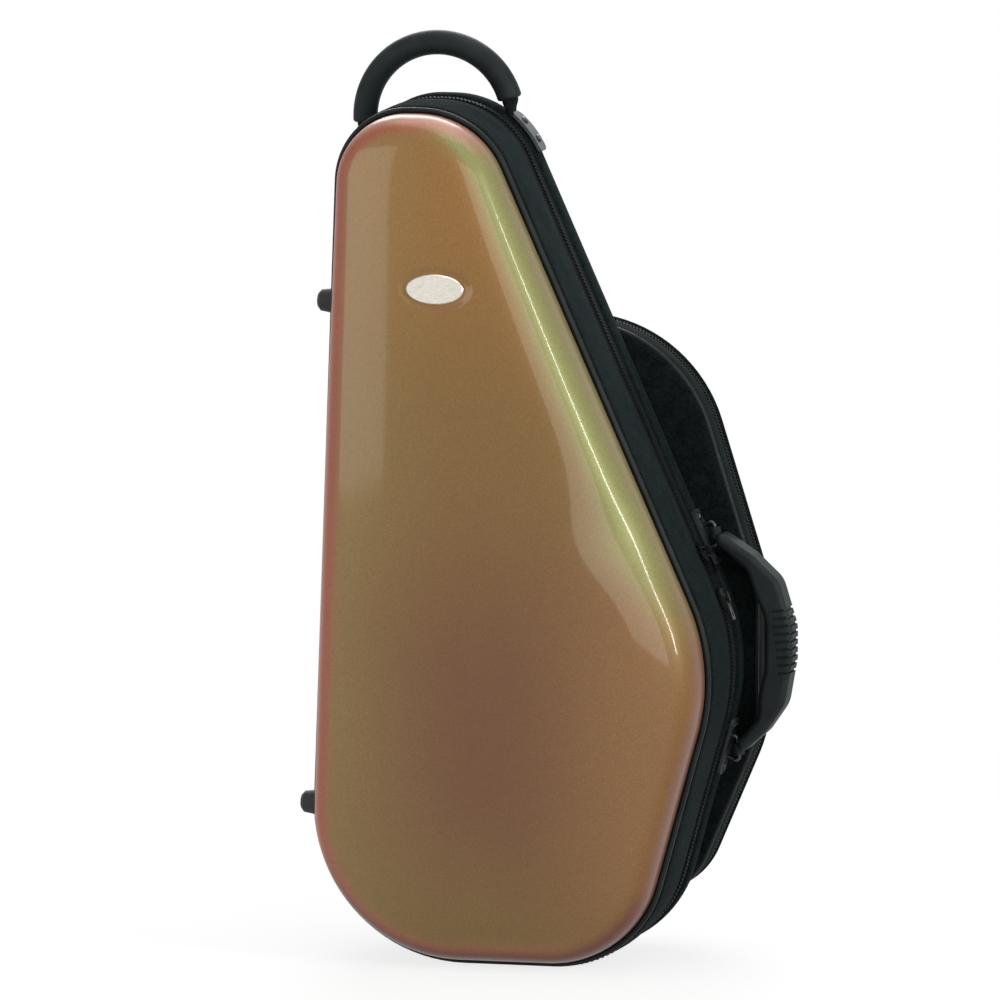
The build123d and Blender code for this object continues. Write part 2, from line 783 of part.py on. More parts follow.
# Eyes at both ends turn on the straight wire of the staples.
eyes = []
for at in (0, hinge_length):
    turn = grip_frame * Pos(at, 0, 0) * Rot(0, 90, 0)
    eyes.append(turn * Cylinder(eye_radius, eye_height))
    grip += eyes[-1]
    grip -= turn * Cylinder(staple_radius + pin_clearance, eye_height + overrun)
parts["side_handle_grip"] = grip

staple_half = 9.5
staple_bend = 3.0
bracket_length = 46.0


def bracket(wall, eye):
    # plate, rivets and a staple whose outer wire lies on the hinge line
    at = (eye - wall.origin).dot(wall.x_dir)
    plate = wall_block(wall, at - bracket_length / 2, at + bracket_length / 2,
                       near_edge, far_edge, body_proud, body_proud + plate_thickness)
    plate = round_plate(plate)
    top = body_proud + plate_thickness
    heads = [rivet(wall * Pos(at + side * (bracket_length / 2 - rivet_radius * 2), handle_y, top))
             for side in (-1, 1)]
    unit = hinge_run.normalized()
    bar = [eye - unit * staple_half, eye + unit * staple_half]
    feet = [point - wall.z_dir * ((point - wall.origin).dot(wall.z_dir) - top) for point in bar]
    points = [Vector(point.X, handle_y, point.Z) for point in (feet[0], bar[0], bar[1], feet[1])]
    path = FilletPolyline(*points, radius=staple_bend)
    wire = sweep(Plane(origin=path @ 0, z_dir=path % 0) * Circle(staple_radius), path=path)
    return plate, heads, wire


upper_bracket = bracket(diagonal, upper_eye)
lower_bracket = bracket(bell_wall, lower_eye)
parts["side_handle_plates"] = Compound([upper_bracket[0], lower_bracket[0]])
parts["side_handle_rivets"] = Compound(upper_bracket[1] + lower_bracket[1])
parts["side_handle_staples"] = Compound([upper_bracket[2], lower_bracket[2]])


# Strap rings: one high on the back, one low on the left wall, each in a sewn tab

ring_wire = 1.8
ring_width = 22.0
ring_drop = 20.0
ring_bend = 7.0
ring_corner = 2.7
tab_width = 16.0
tab_length = 24.0
tab_thickness = 1.6
upper_ring_drop = 52.0
upper_ring_left_share = 0.5
lower_ring_rise = 173.5


def strap_ring(frame):
    # frame: X points down the fabric, Y across it, Z out of it; the bar turns in the tab
    out = ring_wire + pin_clearance + tab_thickness
    half = ring_width / 2
    points = [(0, -half), (ring_drop, -half), (ring_drop, half), (0, half)]
    path = FilletPolyline(*points, radius=[ring_corner, ring_bend, ring_bend, ring_corner], close=True)
    path = frame * Pos(0, 0, out) * path
    start = path.edges()[0]
    wire = sweep(Plane(origin=start @ 0, z_dir=start % 0) * Circle(ring_wire), path=path)
    loop_radius = ring_wire + pin_clearance
    shaft = Pos(0, 0, out) * Rot(90, 0, 0) * Cylinder(loop_radius, tab_width * 2)
    loop = Pos(0, 0, out) * Rot(90, 0, 0) * Cylinder(loop_radius + tab_thickness, tab_width)
    flat = span((-tab_length, -tab_width / 2, 0), (0, tab_width / 2, tab_thickness))
    return wire, frame * (flat + loop - shaft)


back_frame = Plane(origin=(-upper_ring_left_share * base_left, back_y, high - upper_ring_drop),
                   x_dir=(0, 0, -1), z_dir=(0, 1, 0))
side_place = left_wall.origin + left_wall.x_dir * lower_ring_rise + left_wall.z_dir * body_proud
side_frame = Plane(origin=side_place + handle_level, x_dir=-left_wall.x_dir, z_dir=left_wall.z_dir)
upper_ring, upper_tab = strap_ring(back_frame)
lower_ring, lower_tab = strap_ring(side_frame)
parts["upper_strap_ring"] = upper_ring
parts["lower_strap_ring"] = lower_ring
parts["ring_tabs"] = Compound([upper_tab, lower_tab])


# Write one file for each piece

os.makedirs("parts", exist_ok=True)
for name, part in parts.items():
    export_step(part, f"parts/{name}.step")
    print(name, len(part.solids()))
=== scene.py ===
import math

import bmesh
import bpy
import numpy as np
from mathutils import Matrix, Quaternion, Vector, noise


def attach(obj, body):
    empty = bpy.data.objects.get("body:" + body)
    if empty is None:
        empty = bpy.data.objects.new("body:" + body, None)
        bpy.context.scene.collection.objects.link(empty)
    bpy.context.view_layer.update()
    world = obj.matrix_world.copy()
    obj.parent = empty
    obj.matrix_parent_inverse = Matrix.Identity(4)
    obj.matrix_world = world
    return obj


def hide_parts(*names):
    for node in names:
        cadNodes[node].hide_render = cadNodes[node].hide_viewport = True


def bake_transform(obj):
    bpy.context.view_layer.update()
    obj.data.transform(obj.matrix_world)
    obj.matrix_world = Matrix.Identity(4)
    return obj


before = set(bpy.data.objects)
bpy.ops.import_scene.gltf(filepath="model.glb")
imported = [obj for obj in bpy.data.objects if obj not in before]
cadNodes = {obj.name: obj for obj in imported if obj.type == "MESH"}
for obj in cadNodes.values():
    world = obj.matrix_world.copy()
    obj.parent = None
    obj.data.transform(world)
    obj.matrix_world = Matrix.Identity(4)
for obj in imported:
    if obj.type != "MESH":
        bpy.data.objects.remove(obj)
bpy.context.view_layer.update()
mm = 0.001
print("frame loaded:", len(cadNodes), "nodes")


# Materials

def plug(tree, value, socket):
    if isinstance(value, bpy.types.NodeSocket):
        tree.links.new(value, socket)
    else:
        socket.default_value = value


def newMaterial(name, base, rough, metallic=0.0, **sockets):
    material = bpy.data.materials.new(name)
    material.use_nodes = True
    shader = material.node_tree.nodes["Principled BSDF"]
    shader.inputs["Base Color"].default_value = (*base, 1)
    shader.inputs["Roughness"].default_value = rough
    shader.inputs["Metallic"].default_value = metallic
    for socket, value in sockets.items():
        shader.inputs[socket.replace("_", " ")].default_value = value
    return material, material.node_tree, shader


def addNode(tree, kind, settings=None, **inputs):
    made = tree.nodes.new(kind)
    for key, value in (settings or {}).items():
        setattr(made, key, value)
    for key, value in inputs.items():
        plug(tree, value, made.inputs[key.replace("_", " ")])
    return made


def mathNode(tree, operation, *values):
    made = addNode(tree, "ShaderNodeMath", {"operation": operation})
    for value, socket in zip(values, made.inputs):
        plug(tree, value, socket)
    return made.outputs[0]


def noiseNode(tree, place, scale, detail, rough=0.5):
    made = addNode(tree, "ShaderNodeTexNoise", Vector=place, Scale=scale, Detail=detail, Roughness=rough)
    return made.outputs["Fac"]


def mapped(tree, value, source, target=(0.0, 1.0), eased=True):
    # a value between two levels, spread over two others
    settings = {"interpolation_type": "SMOOTHSTEP" if eased else "LINEAR"}
    made = addNode(tree, "ShaderNodeMapRange", settings, Value=value, From_Min=source[0], From_Max=source[1],
                   To_Min=target[0], To_Max=target[1])
    return made.outputs[0]


def ramp(tree, factor, *stops):
    made = addNode(tree, "ShaderNodeValToRGB", Fac=factor)
    band = made.color_ramp
    while len(band.elements) < len(stops):
        band.elements.new(0.5)
    for element, (place, colour) in zip(band.elements, stops):
        element.position = place
        element.color = (*colour, 1)
    return made.outputs["Color"]


def mixColour(tree, factor, first, second, blendType="MIX"):
    made = addNode(tree, "ShaderNodeMix", {"data_type": "RGBA", "blend_type": blendType})
    for index, value in ((0, factor), (6, first), (7, second)):
        plug(tree, value, made.inputs[index])
    return made.outputs[2]


def objectPlace(tree):
    return tree.nodes.new("ShaderNodeTexCoord").outputs["Object"]


def addBump(tree, shader, height, strength, distance, under=None):
    bump = addNode(tree, "ShaderNodeBump", Strength=strength, Distance=distance, Height=height)
    if under:
        tree.links.new(under, bump.inputs["Normal"])
    tree.links.new(bump.outputs["Normal"], shader.inputs["Normal"])


fabricLook = {
    "rough": 0.9, "sheenRough": 0.45, "specular": 0.03,
    "cloudScale": 90.0, "threads": 0.10,  # mottling, and how much the weave shows in it
    # painted shade: the fabric's colour is darkened lower down and kept paler at the top, as light falls from
    # above
    "paintedShadeHeights": (0.10, 0.55), "paintedShade": (0.43, 0.50),  # a little paler towards the top
    "darkAt": 0.44, "lightAt": 0.70, "bump": 0.30,
}
bodySheen = (0.02, (0.40, 0.58, 0.62))
fabricKinds = {  # dark and light threads, pitch of the weave and depth of its bump in millimetres, sheen
    "bodyFabric": ((0.0022, 0.0036, 0.0038), (0.0102, 0.0150, 0.0156), 1.5, 0.12, bodySheen),
    # painted shade: the pocket's fabric is a darker copy of the body's, as the pocket lies in shade behind
    # the body
    "pocketFabric": ((0.0020, 0.0028, 0.0030), (0.0085, 0.0120, 0.0125), 1.5, 0.12, bodySheen),
    "zipTapeFabric": ((0.0035, 0.0042, 0.0048), (0.0100, 0.0115, 0.0125), 0.7, 0.12, bodySheen),
    "webbingFabric": ((0.0035, 0.0040, 0.0045), (0.0125, 0.0140, 0.0150), 1.6, 0.35, bodySheen),
    "plushFabric": ((0.006, 0.006, 0.007), (0.020, 0.020, 0.024), 0.9, 0.3, (0.8, (0.5, 0.5, 0.6))),
}


def fabricMaterial(name, dark, light, weave, bumpDepth, sheen):
    look = fabricLook
    material, tree, shader = newMaterial(
        name, light, look["rough"], Sheen_Weight=sheen[0], Sheen_Tint=(*sheen[1], 1),
        Sheen_Roughness=look["sheenRough"], Specular_IOR_Level=look["specular"])
    place = objectPlace(tree)
    pitch = weave * mm
    threads = []
    for axis in ("X", "Y", "Z"):
        wave = addNode(tree, "ShaderNodeTexWave", {"bands_direction": axis, "wave_profile": "SIN"},
                       Vector=place, Scale=math.pi / 10 / pitch, Distortion=1.2, Detail=1.0, Detail_Scale=2.0)
        threads.append(wave.outputs["Fac"])
    crossed = mathNode(tree, "ADD", threads[1], mathNode(tree, "MAXIMUM", threads[0], threads[2]))
    cloudy = noiseNode(tree, place, look["cloudScale"], 7.0, 0.78)
    grain = noiseNode(tree, place, 0.8 / pitch, 3.0, 0.6)
    woven = mathNode(tree, "MULTIPLY_ADD", crossed, look["threads"], mathNode(tree, "ADD", cloudy, grain))
    # painted shade: the weave is darkened lower down and kept paler towards the top, as light falls from
    # above
    height = addNode(tree, "ShaderNodeSeparateXYZ", Vector=place).outputs["Z"]
    paintedShade = mapped(tree, height, look["paintedShadeHeights"], look["paintedShade"], eased=False)
    paintedShadeWeave = mathNode(tree, "MULTIPLY", woven, paintedShade)
    colour = ramp(tree, paintedShadeWeave, (look["darkAt"], dark), (look["lightAt"], light))
    tree.links.new(colour, shader.inputs["Base Color"])
    addBump(tree, shader, woven, look["bump"], bumpDepth * mm)
    return material


plasticKinds = {  # colour, roughness, size and depth of the grain in millimetres, specular level
    "pipingVinyl": ((0.006, 0.007, 0.007), 0.40, 1.5, 0.02, 0.12),
    "gripSoftTouch": ((0.0055, 0.0080, 0.0085), 0.55, 0.9, 0.05, 0.14),
    "footRubber": ((0.012, 0.013, 0.014), 0.60, 1.2, 0.06, 0.3),
    "anchorPlate": ((0.040, 0.046, 0.047), 0.42, 1.4, 0.12, 0.3),
    # painted shade: the side handle's plates are the top handle's plate made darker, as they lie in shade
    "sidePlate": ((0.014, 0.017, 0.020), 0.36, 1.4, 0.10, 0.35),
    "bareShell": ((0.012, 0.012, 0.013), 0.62, 2.0, 0.15, 0.5),
    "zipTooth": ((0.0030, 0.0035, 0.0035), 0.55, 0.8, 0.02, 0.06),
    "stitchThread": ((0.009, 0.011, 0.012), 0.7, 0.5, 0.05, 0.1),
}


def plasticMaterial(name, base, rough, grain, grainDepth, specular):
    material, tree, shader = newMaterial(name, base, rough, Specular_IOR_Level=specular)
    place = objectPlace(tree)
    pits = noiseNode(tree, place, 1 / (grain * mm), 3.0, 0.6)
    wear = noiseNode(tree, place, 45.0, 4.0)
    lighter = tuple(min(1.0, c * 1.5 + 0.004) for c in base)
    tree.links.new(ramp(tree, wear, (0.35, base), (0.75, lighter)), shader.inputs["Base Color"])
    roughness = mapped(tree, pits, (0.0, 1.0), (rough - 0.08, rough + 0.1), eased=False)
    tree.links.new(roughness, shader.inputs["Roughness"])
    addBump(tree, shader, pits, 0.5, grainDepth * mm)
    return material


metalKinds = {  # colour, roughness, scale of the scratches along each axis
    "zipMetal": ((0.055, 0.057, 0.060), 0.28, (1, 1, 6)),
    "nickelPlate": ((0.52, 0.52, 0.53), 0.22, (6, 1, 1)),
    "badgeMetal": ((0.66, 0.63, 0.56), 0.30, (1, 8, 8)),
}


def metalMaterial(name, base, rough, scratch):
    material, tree, shader = newMaterial(name, base, rough, metallic=1.0)
    stretched = addNode(tree, "ShaderNodeMapping", Vector=objectPlace(tree), Scale=scratch)
    lines = noiseNode(tree, stretched.outputs[0], 260.0, 5.0, 0.7)
    roughness = mapped(tree, lines, (0.0, 1.0), (rough * 0.6, rough * 1.5), eased=False)
    tree.links.new(roughness, shader.inputs["Roughness"])
    darker = tuple(c * 0.7 for c in base)
    tree.links.new(ramp(tree, lines, (0.3, darker), (0.7, base)), shader.inputs["Base Color"])
    addBump(tree, shader, lines, 0.15, 0.02 * mm)
    return material


materials = {}
for makeMaterial, kinds in ((fabricMaterial, fabricKinds), (plasticMaterial, plasticKinds),
                            (metalMaterial, metalKinds)):
    for kind, values in kinds.items():
        materials[kind] = makeMaterial(kind, *values)

shellColours = {
    "foot": (0.140, 0.082, 0.020),
    "low": (0.118, 0.048, 0.017),  # red-brown over the bell
    "middle": (0.148, 0.078, 0.017),  # bronze
    "high": (0.198, 0.090, 0.017),  # gold above
    "copper": (0.168, 0.080, 0.024),  # towards the right below
    "olive": (0.178, 0.116, 0.034),  # towards the left and on the left shoulder
    # the green is partly the lacquer's own flip colour and partly painted highlight, beside the right lamp's
    # glint
    "green": (0.190, 0.188, 0.068),  # right and top shoulder
    "tan": (0.165, 0.072, 0.042),  # right side wall
    "rose": (0.250, 0.068, 0.032),  # where the left turns away
    "wine": (0.150, 0.064, 0.042),  # left side wall
    "pink": (0.290, 0.140, 0.098),  # above
    "rust": (0.120, 0.040, 0.026),  # below
}
shellLayers = [  # each colour goes over the one before where all its measures run from nothing to full
    ("low", ("height", (0.06, 0.20))),
    ("middle", ("height", (0.26, 0.46))),
    ("high", ("height", (0.45, 0.66))),
    ("copper", ("across", (0.00, 0.11)), ("height", (0.42, 0.30))),
    ("olive", ("leftward", (0.00, -0.15))),
    ("olive", ("turned", (0.04, 0.20)), ("sideways", (0.35, -0.20))),
    # partly painted highlight: green only on the upper right shoulder, along the right lamp's glint
    ("green", ("turned", (0.03, 0.22)), ("sideways", (-0.10, 0.35)), ("height", (0.25, 0.42))),
    ("tan", ("turned", (0.48, 0.85)), ("upward", (0.10, 0.30), (1.0, 0.40))),
    ("rose", ("turned", (0.05, 0.24)), ("sideways", (0.35, -0.20))),
    ("wine", ("turned", (0.45, 0.80)), ("sideways", (0.35, -0.20))),
    ("pink", ("upward", (0.42, 0.85)), ("turned", (0.16, 0.45))),
    ("rust", ("upward", (-0.10, -0.55)), ("turned", (0.10, 0.45))),
]
shellFinish = {
    "rough": 0.42, "metallic": 0.25, "specular": 0.2, "coatRough": 0.075, "coatIor": 1.36,
    "coatFades": (0.10, 0.36), "coat": (1.0, 0.24),  # full in front, thin where the shell turns away
    "flakeSize": 0.7, "flakes": 0.6, "blotchScale": 7.0, "rippleScale": 14.0,
}


def lacquerMaterial():
    # the lacquer shifts with the way that the surface faces; its green on the upper right shoulder is partly
    # painted highlight
    finish = shellFinish
    material, tree, shader = newMaterial(
        "shellLacquer", shellColours["middle"], finish["rough"], finish["metallic"],
        Coat_Roughness=finish["coatRough"], Coat_IOR=finish["coatIor"], Specular_IOR_Level=finish["specular"])
    coordinates = tree.nodes.new("ShaderNodeTexCoord")
    place = coordinates.outputs["Object"]
    facing = addNode(tree, "ShaderNodeSeparateXYZ", Vector=coordinates.outputs["Normal"]).outputs
    spot = addNode(tree, "ShaderNodeSeparateXYZ", Vector=place).outputs
    blotch = noiseNode(tree, place, finish["blotchScale"], 3.0)
    side = mapped(tree, facing["Y"], (-1.0, 0.0), eased=False)
    measures = {
        "height": mathNode(tree, "MULTIPLY_ADD", blotch, 0.10, spot["Z"]),
        "across": spot["X"],
        "leftward": mathNode(tree, "MULTIPLY_ADD", blotch, 0.05, spot["X"]),
        "turned": mathNode(tree, "MULTIPLY_ADD", blotch, 0.05, side),  # 0 in front, 1 on the side walls
        "sideways": facing["X"], "upward": facing["Z"],
    }
    colour = (*shellColours["foot"], 1)
    for name, *shares in shellLayers:
        factors = [mapped(tree, measures[measure], *levels) for measure, *levels in shares]
        share = factors[0]
        for factor in factors[1:]:
            share = mathNode(tree, "MULTIPLY", share, factor)
        colour = mixColour(tree, share, colour, (*shellColours[name], 1))
    coat = mapped(tree, measures["turned"], finish["coatFades"], finish["coat"])
    tree.links.new(coat, shader.inputs["Coat Weight"])
    flakes = addNode(tree, "ShaderNodeTexVoronoi", Vector=place, Scale=1 / (finish["flakeSize"] * mm)).outputs
    sparkle = ramp(tree, flakes["Color"], (0.3, (0.80, 0.80, 0.80)), (0.9, (1.22, 1.22, 1.22)))
    colour = mixColour(tree, finish["flakes"], colour, sparkle, "MULTIPLY")
    tree.links.new(colour, shader.inputs["Base Color"])
    waves = addNode(tree, "ShaderNodeBump", Strength=0.25, Distance=0.35 * mm,
                    Height=noiseNode(tree, place, finish["rippleScale"], 1.5))
    tree.links.new(waves.outputs["Normal"], shader.inputs["Coat Normal"])
    addBump(tree, shader, flakes["Distance"], 0.12, 0.05 * mm, waves.outputs["Normal"])
    return material


materials["shellLacquer"] = lacquerMaterial()


def dress(piece, *names):
    piece.data.materials.clear()
    for name in names:
        piece.data.materials.append(materials[name])


print("materials made")


# Outline of the case and of the pocket, in millimetres, corners clockwise from the toe

caseOutline = {
    "corners": [(-160.0, 4.5), (-135.89, 662.0), (-27.6, 662.0), (161.3, 238.2), (96.5, 4.5)],
    "radii": [116.0, 55.0, 70.0, 150.0, 85.0],
}
proud = 4.5  # how far the fabric stands out of that outline
pocketOutline = {
    "corners": [(-140.0, 36.0), (-128.0, 490.0), (101.0, 490.0),
                (165.0, 284.8), (165.0, 168.1), (108.8, 36.0)],
    "radii": [72.0, 55.0, 115.0, 100.0, 100.0, 60.0],
}
depths = {  # where each layer starts, front to back
    "rim": -59.0, "pipingEnd": -54.0, "gussetEnd": 6.5, "seam": 21.0, "trayStart": 35.5,
    "panelEnd": 61.5, "pocketPipingEnd": 65.5, "pocketWallEnd": 90.0, "pocketSeam": 96.5, "flapStart": 103.0,
}


def traceOutline(outline, step=6.0, turnStep=4.0):
    # points round the outline with their outward normals and the distance run so far
    corners = [Vector(c) for c in outline["corners"]]
    count = len(corners)
    points, normals, runs = [], [], []
    travelled = 0.0
    for index in range(count):
        corner, after, further = corners[index], corners[(index + 1) % count], corners[(index + 2) % count]
        before = corners[index - 1]
        direction = (after - corner).normalized()
        nextDirection = (further - after).normalized()
        lastDirection = (corner - before).normalized()
        radius, nextRadius = outline["radii"][index], outline["radii"][(index + 1) % count]
        startTrim = radius * math.tan(lastDirection.angle(direction) / 2)
        turn = direction.angle(nextDirection)
        endTrim = nextRadius * math.tan(turn / 2)
        normal = Vector((-direction.y, direction.x))
        start, length = corner + direction * startTrim, (after - corner).length - startTrim - endTrim
        pieces = max(1, round(length / step))
        for part in range(pieces):
            points.append(start + direction * (length * part / pieces))
            normals.append(normal)
            runs.append(travelled + length * part / pieces)
        travelled += length
        centre = start + direction * length - normal * nextRadius
        pieces = max(2, round(math.degrees(turn) / turnStep))
        for part in range(pieces):
            angle = -turn * part / pieces
            bent = Vector((normal.x * math.cos(angle) - normal.y * math.sin(angle),
                           normal.x * math.sin(angle) + normal.y * math.cos(angle)))
            points.append(centre + bent * nextRadius)
            normals.append(bent)
            runs.append(travelled + turn * nextRadius * part / pieces)
        travelled += turn * nextRadius
    return points, normals, runs, travelled


def loopFaces(size, count, first=0, closed=False):
    # quads between one loop of corners and the next; open ends are capped
    faces = []
    for i in range(count if closed else count - 1):
        near, far = first + i * size, first + (i + 1) % count * size
        faces += [(near + j, near + (j + 1) % size, far + (j + 1) % size, far + j) for j in range(size)]
    if not closed:
        last = first + (count - 1) * size
        faces += [tuple(reversed(range(first, first + size))), tuple(range(last, last + size))]
    return faces


def finishPiece(name, vertices, faces, look, body=None, slot=None, replaced=(), merged=False,
                sharpFrom=50):
    mesh = bpy.data.meshes.new(name)
    mesh.from_pydata([tuple(c * mm for c in v) for v in vertices], [], faces)
    piece = bpy.data.objects.new(name, mesh)
    bpy.context.scene.collection.objects.link(piece)
    cleaned = bmesh.new()
    cleaned.from_mesh(mesh)
    if merged:
        bmesh.ops.remove_doubles(cleaned, verts=cleaned.verts, dist=0.02 * mm)
        bmesh.ops.dissolve_degenerate(cleaned, edges=cleaned.edges, dist=0.01 * mm)
    bmesh.ops.recalc_face_normals(cleaned, faces=cleaned.faces)
    cleaned.to_mesh(mesh)
    cleaned.free()
    dress(piece, look)
    mesh.shade_smooth()
    mesh.set_sharp_from_angle(angle=math.radians(sharpFrom))
    if body:
        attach(piece, body)
    if replaced:
        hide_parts(*replaced)
    return piece


def ripple(x, y, z, scale, depth):
    return depth * noise.noise(Vector((x / scale, y / scale, z / scale)))


def onOutline(point, normal, grow, y):
    return (point.x + normal.x * grow, y, max(point.y + normal.y * grow, 0.0))


wrinkleScale = 34.0


def sweptBand(name, outline, profile, look, wrinkle=0.0, **rest):
    # a closed profile of outward distance, depth and softness carried round an outline
    points, normals, _, _ = traceOutline(outline)
    vertices = []
    for point, normal in zip(points, normals):
        for grow, y, soft in profile:
            place = onOutline(point, normal, grow, y)
            if wrinkle and soft:
                place = onOutline(point, normal, grow + soft * ripple(*place, wrinkleScale, wrinkle), y)
            vertices.append(place)
    faces = loopFaces(len(profile), len(points), closed=True)
    return finishPiece(name, vertices, faces, look, **rest)


def paddedProfile(inner, outer, start, end, crown, rounds, steps):
    # crowned outside, drawn in at both seams, flat inside
    profile = []
    for step in range(steps + 1):
        share = step / steps
        y = start + (end - start) * share
        drop = 0.0
        for away, radius in zip((y - start, end - y), rounds):
            if away < radius:
                drop = max(drop, radius - math.sqrt(max(radius ** 2 - (radius - away) ** 2, 0)))
        soft = math.sin(math.pi * share)
        profile.append((outer + crown * soft ** 0.7 - drop, y, soft))
    profile += [(inner, end - (end - start) * step / 3, 0) for step in range(4)]
    return profile


def tubeProfile(centreGrow, centreY, radius, flange, steps=12):
    # a cord with a flat flange inwards, as piping has
    profile = []
    for step in range(steps + 1):
        angle = math.radians(-150 + 300 * step / steps)
        profile.append((centreGrow + radius * math.cos(angle), centreY + radius * math.sin(angle), 0))
    foot = centreGrow - radius - flange
    profile += [(foot, centreY + radius * 0.5, 0), (foot, centreY - radius * 0.5, 0)]
    return profile


# Front shell and its lining: a pillow drawn from the outline, with a shallow dish for the badge

shellSizes = {
    "depth": 52.9, "rounding": 0.066, "squareness": 2.8,
    "waist": (108.0, 342.0), "waistReach": (72.0, 52.0), "waistSoftness": 0.56,
    "across": 1400.0, "along": 3600.0, "centre": (-9.6, 300.4),
    "wall": 3.0, "liningGap": 0.3, "liningThick": 2.0,
    "reach": 52.0, "rings": 24, "spine": [(-80, 575), (-45, 330), (-20, 150)],
    "capShares": (0.14, 0.28, 0.42, 0.56, 0.70, 0.85, 1.0),
}
badgeSizes = {
    "centre": (-51.04, 531.2), "dish": (60.0, 34.0), "floor": (47.0, 24.4), "depth": 1.6, "lip": 1.06,
    "finerInside": (46.0, 40.0, 35.0), "flatness": 0.62,
}


def softDistance(spots):
    # a smooth stand-in for the distance to the outline, with no crease down the middle
    corners = np.array([tuple(p) for p in traceOutline(caseOutline, 8.0, 2.0)[0]])
    nexts = np.roll(corners, -1, axis=0)
    run = (nexts - corners) / np.linalg.norm(nexts - corners, axis=1)[:, None]
    found = np.zeros(len(spots))
    for i in range(0, len(spots), 1500):
        part = spots[i:i + 1500]
        toStart = corners[None] - part[:, None]
        toEnd = nexts[None] - part[:, None]
        away = np.abs(toStart[..., 0] * run[:, 1] - toStart[..., 1] * run[:, 0]) + 1e-6
        low = np.arctan((toStart * run).sum(axis=2) / away)
        high = np.arctan((toEnd * run).sum(axis=2) / away)
        whole = (high - low + (np.sin(2 * high) - np.sin(2 * low)) / 2) / (2 * away ** 2)
        found[i:i + 1500] = whole.sum(axis=1)
    return np.sqrt(math.pi / 2 / found)


def dishDrop(spots):
    # the badge's dish, an oval with a softened lip
    sizes = badgeSizes
    x, z = spots[:, 0] - sizes["centre"][0], spots[:, 1] - sizes["centre"][1]
    outwards = np.hypot(x / sizes["dish"][0], z / sizes["dish"][1]) * 2
    floorEnd = sizes["floor"][0] / sizes["dish"][0]
    share = np.clip((sizes["lip"] - outwards) / (sizes["lip"] - floorEnd), 0, 1)
    return sizes["depth"] * share * share * (3 - 2 * share)


def shellDepth(spots, dished):
    sizes = shellSizes
    away = (spots - sizes["waist"]) / sizes["waistReach"]
    rounding = sizes["rounding"] * (1 - sizes["waistSoftness"] * np.exp(-(away ** 2).sum(axis=1)))
    full = 1 - np.exp(-rounding * softDistance(spots))
    rise = full ** (1 / sizes["squareness"])
    x, z = spots[:, 0] - sizes["centre"][0], spots[:, 1] - sizes["centre"][1]
    sag = x ** 2 / (2 * sizes["across"]) + z ** 2 / (2 * sizes["along"])
    y = depths["rim"] - rise * (sizes["depth"] - sag)
    return y + dishDrop(spots) if dished else y


def nearestOnSpine(point, spine):
    best, bestDistance = None, 1e9
    for a, b in zip(spine, spine[1:]):
        a, b = Vector(a), Vector(b)
        t = max(0.0, min(1.0, (point - a).dot(b - a) / (b - a).length_squared))
        near = a + (b - a) * t
        if (point - near).length < bestDistance:
            best, bestDistance = near, (point - near).length
    return best


def finerDish(flat):
    # more faces under the badge, in three steps
    centre = badgeSizes["centre"]
    for radius in badgeSizes["finerInside"]:
        close = [edge for edge in flat.edges
                 if all(math.hypot(v.co.x - centre[0], (v.co.z - centre[1]) / badgeSizes["flatness"]) < radius
                        for v in edge.verts)]
        bmesh.ops.subdivide_edges(flat, edges=close, cuts=1, use_grid_fill=True)


def shellLayer(rings, inset, dished):
    # one skin of the shell: rings in from the rim, then closed on a line down the middle
    points, normals, _, _ = traceOutline(caseOutline, 5.0, 3.0)
    ends = np.array([tuple(p) for p in points])
    outs = np.array([tuple(n) for n in normals])
    spots = [ends - outs * max(distance, 0.02) for distance in rings]
    last = spots[-1]
    near = np.array([tuple(nearestOnSpine(Vector(p), shellSizes["spine"])) for p in last])
    spots += [last + (near - last) * share for share in shellSizes["capShares"]]
    flat = bmesh.new()
    grid = [[flat.verts.new((p[0], 0, p[1])) for p in ring] for ring in spots]
    count = len(points)
    for low, high in zip(grid, grid[1:]):
        for i in range(count):
            flat.faces.new((low[i], low[(i + 1) % count], high[(i + 1) % count], high[i]))
    bmesh.ops.remove_doubles(flat, verts=grid[-1], dist=0.05)
    bmesh.ops.dissolve_degenerate(flat, edges=flat.edges, dist=0.01)
    if dished:
        finerDish(flat)
    flat.verts.index_update()
    flatSpots = np.array([(v.co.x, v.co.z) for v in flat.verts])
    faces = [tuple(v.index for v in face.verts) for face in flat.faces]
    flat.free()
    y = shellDepth(flatSpots, dished)
    step = 0.01
    slopeX = (shellDepth(flatSpots + (step, 0), dished) - y) / step
    slopeZ = (shellDepth(flatSpots + (0, step), dished) - y) / step
    normal = np.stack([slopeX, -np.ones(len(y)), slopeZ], axis=1)
    normal[:count] = np.stack([outs[:, 0], np.zeros(count), outs[:, 1]], axis=1)
    y[:count] = depths["rim"]
    flatSpots[:count] = ends
    normal /= np.linalg.norm(normal, axis=1)[:, None]
    places = np.stack([flatSpots[:, 0], y, flatSpots[:, 1]], axis=1) - normal * inset
    places[:, 1] = np.minimum(places[:, 1], depths["rim"])
    return places, normal, faces, count


def turnedOut(face, places, normals):
    # the face's corners in the order that makes it look out
    corners = places[list(face)]
    area = np.cross(corners, np.roll(corners, -1, axis=0)).sum(axis=0)
    return face if area @ normals[list(face)].mean(axis=0) > 0 else tuple(reversed(face))


